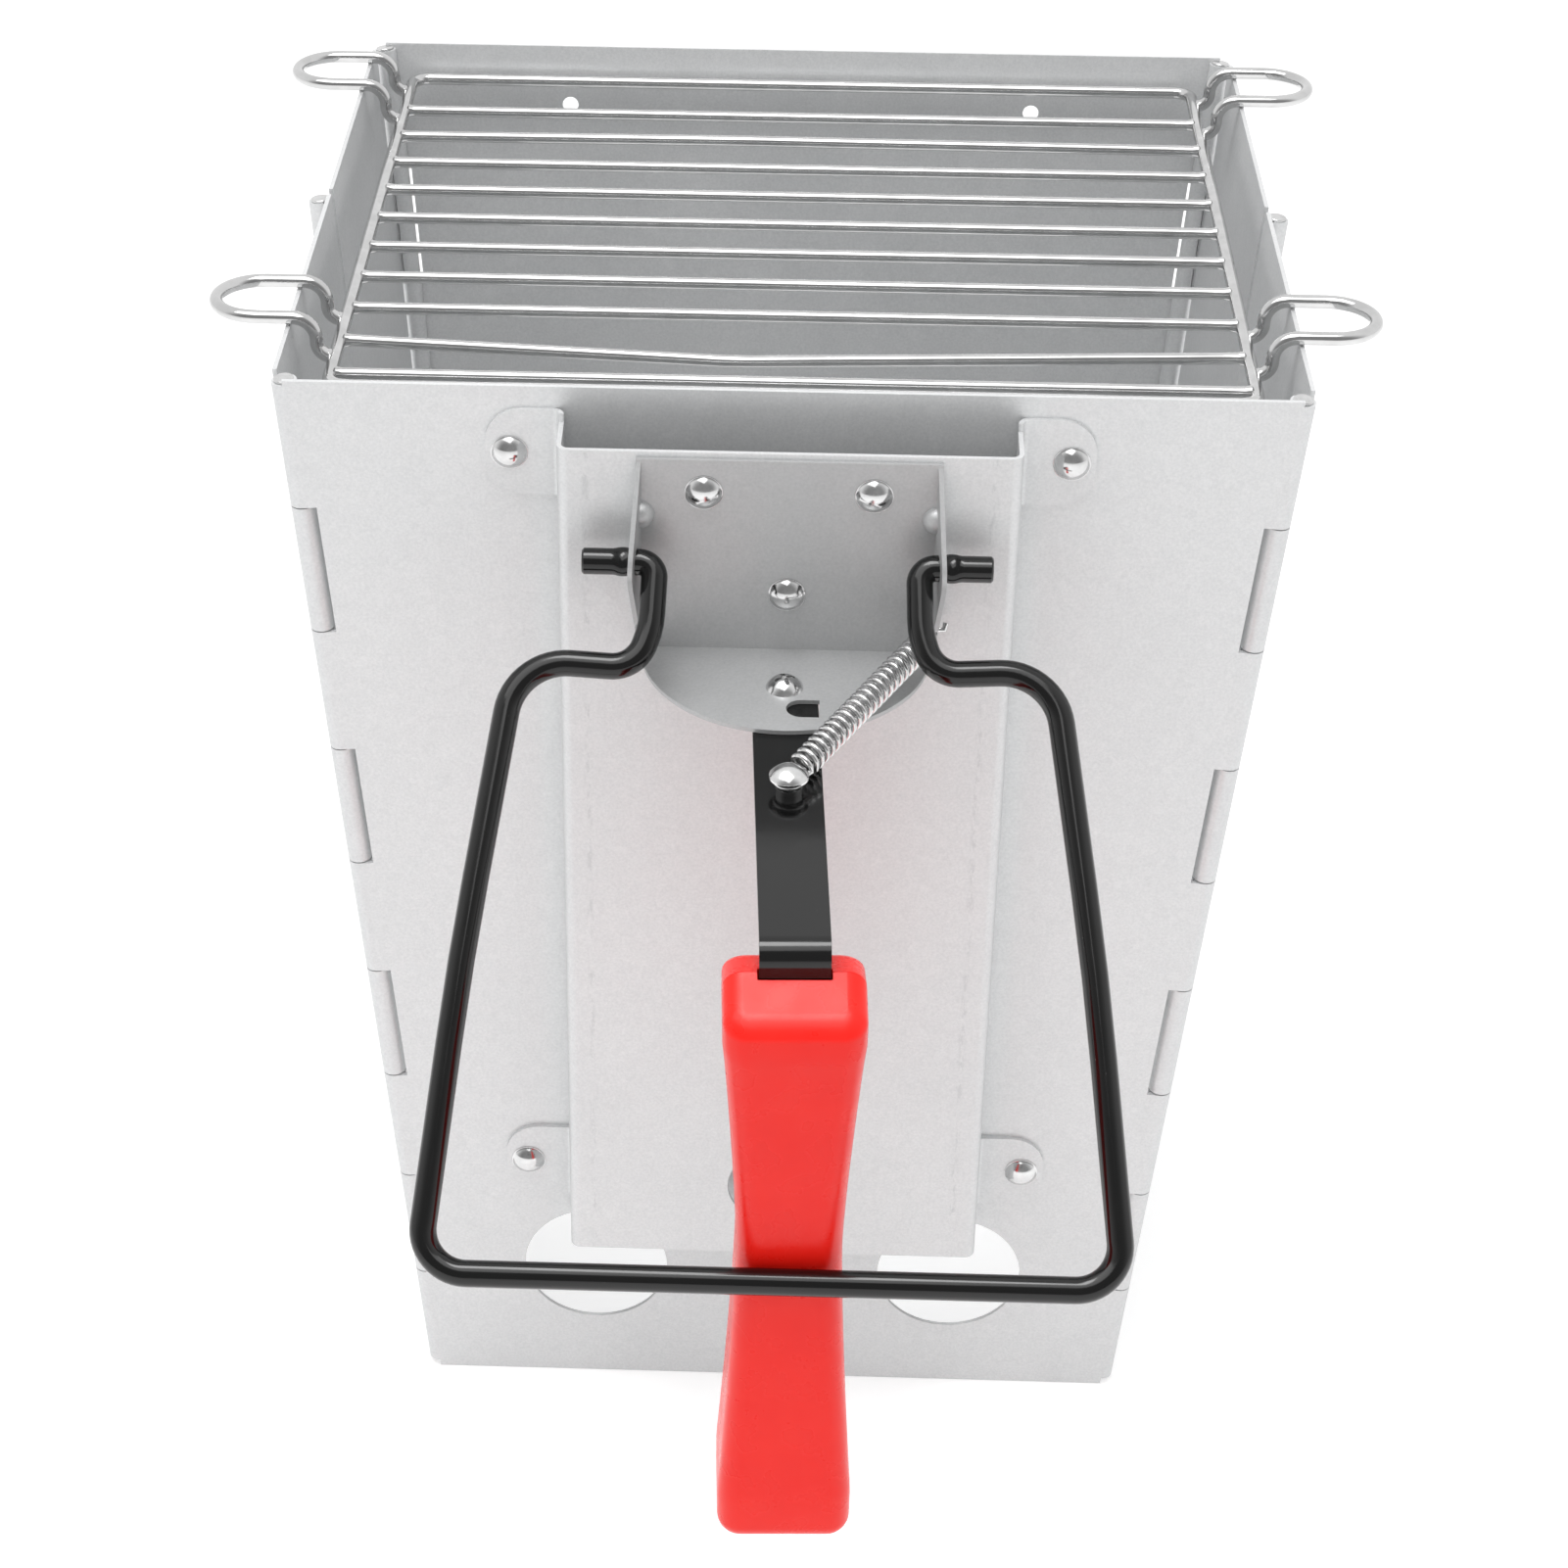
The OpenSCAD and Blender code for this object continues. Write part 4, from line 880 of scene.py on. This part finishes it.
def grill_frame():
    bm = bmesh.new()
    corners = [(frame_x, frame_front), (frame_x, frame_back), (-frame_x, frame_back)]
    corners.append((-frame_x, frame_front))
    path = closed_rounded([(x, y, frame_z) for x, y in corners], FRAME_CORNER)
    sweep(bm, path, even(FRAME_WIRE / 2), sides=20, closed=True)
    made("grill_frame_wire", bm, CHROME, "grill", ["grill_frame"])


def rod_path(index):
    """A rod from side wire to side wire; two of them are bent a little."""
    first, last = frame_front + ROD_FRONT_GAP, frame_back - ROD_BACK_GAP
    y = first + (last - first) * index / (RODS - 1)
    end = frame_x - FRAME_WIRE / 2 + ROD_INTO_FRAME
    kink = KINKS.get(index, 0.0)
    points = []
    for x in spaced(-end, end, ROD_POINT_STEP):
        reach = (x + end) / (KINK_X + end) if x < KINK_X else (end - x) / (end - KINK_X)
        points.append(Vector((x, y + kink * reach, frame_z)))
    return points


def with_weld_points(path):
    """The path with extra points close to its ends, for the weld swellings."""
    near, far = [Vector((step, 0, 0)) for step in ROD_WELD_STEPS]
    first, last = path[0], path[-1]
    return [first, first + near, first + far] + path[1:-1] + [last - far, last - near, last]


def swollen(wire, swells, count):
    """A wire's size along count points, with swells by distance from the nearer end."""

    def size(i):
        return (wire / 2 + swells.get(min(i, count - 1 - i), 0.0),) * 2

    return size


def grill_rods():
    bm = bmesh.new()
    for index in range(RODS):
        path = with_weld_points(rod_path(index))
        sweep(bm, path, swollen(ROD_WIRE, ROD_WELD_SWELLS, len(path)))
    made("grill_cross_rods", bm, CHROME, "grill", ["grill_rods"])


def ear_path(side, y):
    """A flat loop over the rim whose legs bend down inside the wall and in to the frame."""
    half_w = (EAR_WIDTH - FRAME_WIRE) / 2
    leg_x = TOP_WIDTH / 2 - EAR_LEG_IN
    tip_x = TOP_WIDTH / 2 + EAR_OUT - FRAME_WIRE / 2
    start_x = frame_x + EAR_WELD_IN
    leg = rounded(
        [(start_x, 0, 0), (leg_x, 0, 0), (leg_x, 0, EAR_DROP), (tip_x - half_w, 0, EAR_DROP)],
        [EAR_LOWER_BEND, min(EAR_UPPER_BEND, EAR_DROP - EAR_LOWER_BEND)],
    )
    steps = 22
    loop = []
    for k in range(1, steps):
        angle = math.pi * k / steps - math.pi / 2
        x = tip_x - half_w + half_w * math.cos(angle)
        loop.append(Vector((x, half_w * math.sin(angle), EAR_DROP)))
    near = [Vector((p.x, -half_w, p.z)) for p in leg]
    far = [Vector((p.x, half_w, p.z)) for p in reversed(leg)]
    return [Vector((side * p.x, y + p.y, frame_z + p.z)) for p in near + loop + far]


def grill_ears():
    bm = bmesh.new()
    middle = (frame_front + frame_back) / 2 + EARS_BACK
    for side in (-1, 1):
        for y in (middle - EAR_PITCH / 2, middle + EAR_PITCH / 2):
            path = ear_path(side, y)
            sweep(bm, path, swollen(FRAME_WIRE, {0: EAR_WELD_SWELL}, len(path)), sides=20)
    made("grill_ear_loops", bm, CHROME, "grill", ["grill_ears"])


def grill():
    grill_frame()
    grill_rods()
    grill_ears()


# Stage


def seen_white(nodes, links):
    """1 for camera, glossy and transmission rays."""
    path = nodes.new("ShaderNodeLightPath")
    total = path.outputs["Is Camera Ray"]
    for name in ("Is Glossy Ray", "Is Transmission Ray"):
        add = nodes.new("ShaderNodeMath")
        add.operation = "MAXIMUM"
        links.new(total, add.inputs[0])
        links.new(path.outputs[name], add.inputs[1])
        total = add.outputs[0]
    return total


def room():
    """White to the eye, and in reflections too, but for a dimmer room at the front.

    The rest of the light is plain and has the same level from every side.
    """
    studio = bpy.data.worlds.new("studio")
    studio.use_nodes = True
    bpy.context.scene.world = studio
    nodes, links = studio.node_tree.nodes, studio.node_tree.links
    background = nodes["Background"]
    background.inputs["Color"].default_value = WHITE
    axes = nodes.new("ShaderNodeSeparateXYZ")
    links.new(nodes.new("ShaderNodeTexCoord").outputs["Generated"], axes.inputs[0])
    fade = nodes.new("ShaderNodeMapRange")
    fade.interpolation_type = "SMOOTHSTEP"
    set_range(fade, *ROOM_FADE, ROOM_FRONT, 1)
    links.new(axes.outputs["Y"], fade.inputs["Value"])
    path = nodes.new("ShaderNodeLightPath")
    seen = nodes.new("ShaderNodeMath")
    seen.operation = "MAXIMUM"
    links.new(fade.outputs["Result"], seen.inputs[0])
    links.new(path.outputs["Is Camera Ray"], seen.inputs[1])
    strength = nodes.new("ShaderNodeMapRange")
    strength.inputs["To Min"].default_value = ROOM_LIGHT
    links.new(seen.outputs[0], strength.inputs["To Max"])
    links.new(seen_white(nodes, links), strength.inputs["Value"])
    links.new(strength.outputs["Result"], background.inputs["Strength"])


def floor():
    bpy.ops.mesh.primitive_plane_add(size=FLOOR_SIZE, location=(0, 0, -FLOOR_SINK))
    plane = bpy.context.object
    plane.name = "studio_floor"
    material = bpy.data.materials.new("studio_floor")
    material.use_nodes = True
    nodes, links = material.node_tree.nodes, material.node_tree.links
    nodes.remove(nodes["Principled BSDF"])
    diffuse = nodes.new("ShaderNodeBsdfDiffuse")
    diffuse.inputs["Color"].default_value = FLOOR_COLOUR
    glow = nodes.new("ShaderNodeEmission")
    glow.inputs["Color"].default_value = WHITE
    lift = nodes.new("ShaderNodeMath")
    lift.operation = "MULTIPLY"
    lift.inputs[1].default_value = FLOOR_GLOW
    links.new(seen_white(nodes, links), lift.inputs[0])
    links.new(lift.outputs[0], glow.inputs["Strength"])
    add = nodes.new("ShaderNodeAddShader")
    links.new(diffuse.outputs[0], add.inputs[0])
    links.new(glow.outputs[0], add.inputs[1])
    links.new(add.outputs[0], nodes["Material Output"].inputs["Surface"])
    plane.data.materials.append(material)


def lamp(name, location, target, size, energy):
    data = bpy.data.lights.new(name, "AREA")
    data.shape = "RECTANGLE"
    data.size, data.size_y = size
    data.energy = energy
    item = bpy.data.objects.new(name, data)
    item.location = location
    direction = Vector(target) - Vector(location)
    item.rotation_euler = direction.to_track_quat("-Z", "Y").to_euler()
    bpy.context.scene.collection.objects.link(item)


def camera():
    data = bpy.data.cameras.new("camera")
    data.lens = FOCAL_LENGTH
    data.sensor_width = SENSOR_WIDTH
    data.shift_x, data.shift_y = LENS_SHIFT
    data.clip_start = CLIP_START
    item = bpy.data.objects.new("camera", data)
    azimuth, elevation = CAMERA_AZIMUTH, CAMERA_ELEVATION
    back = Vector(
        (
            math.sin(azimuth) * math.cos(elevation),
            -math.cos(azimuth) * math.cos(elevation),
            math.sin(elevation),
        )
    )
    target = CAMERA_TARGET + Vector((0, box_middle_y, 0))
    turned = (-back).to_track_quat("-Z", "Y").to_matrix().to_4x4()
    roll = Matrix.Rotation(CAMERA_ROLL, 4, "Z")
    item.matrix_world = Matrix.Translation(target + back * CAMERA_DISTANCE) @ turned @ roll
    bpy.context.scene.collection.objects.link(item)
    bpy.context.scene.camera = item


camera()
sheet_pieces()
small_hardware()
rivets("channel_rivet_domes", "channel_rivets", SHEET, CHANNEL_RIVETS)
rivets("bracket_rivet_domes", "bracket_rivets", PLATE_OUT, BRACKET_RIVETS)
bail()
handle()
grill()
room()
floor()
lamp("overhead", (-0.25, -0.35, 1.5), target=(0, 0, 0.15), size=(1.4, 1.0), energy=8)
lamp("over_the_grip", (-0.05, -0.15, 1.25), target=(0, -0.1, 0.15), size=(0.5, 0.3), energy=3.5)
bpy.context.scene.view_settings.view_transform = "Standard"
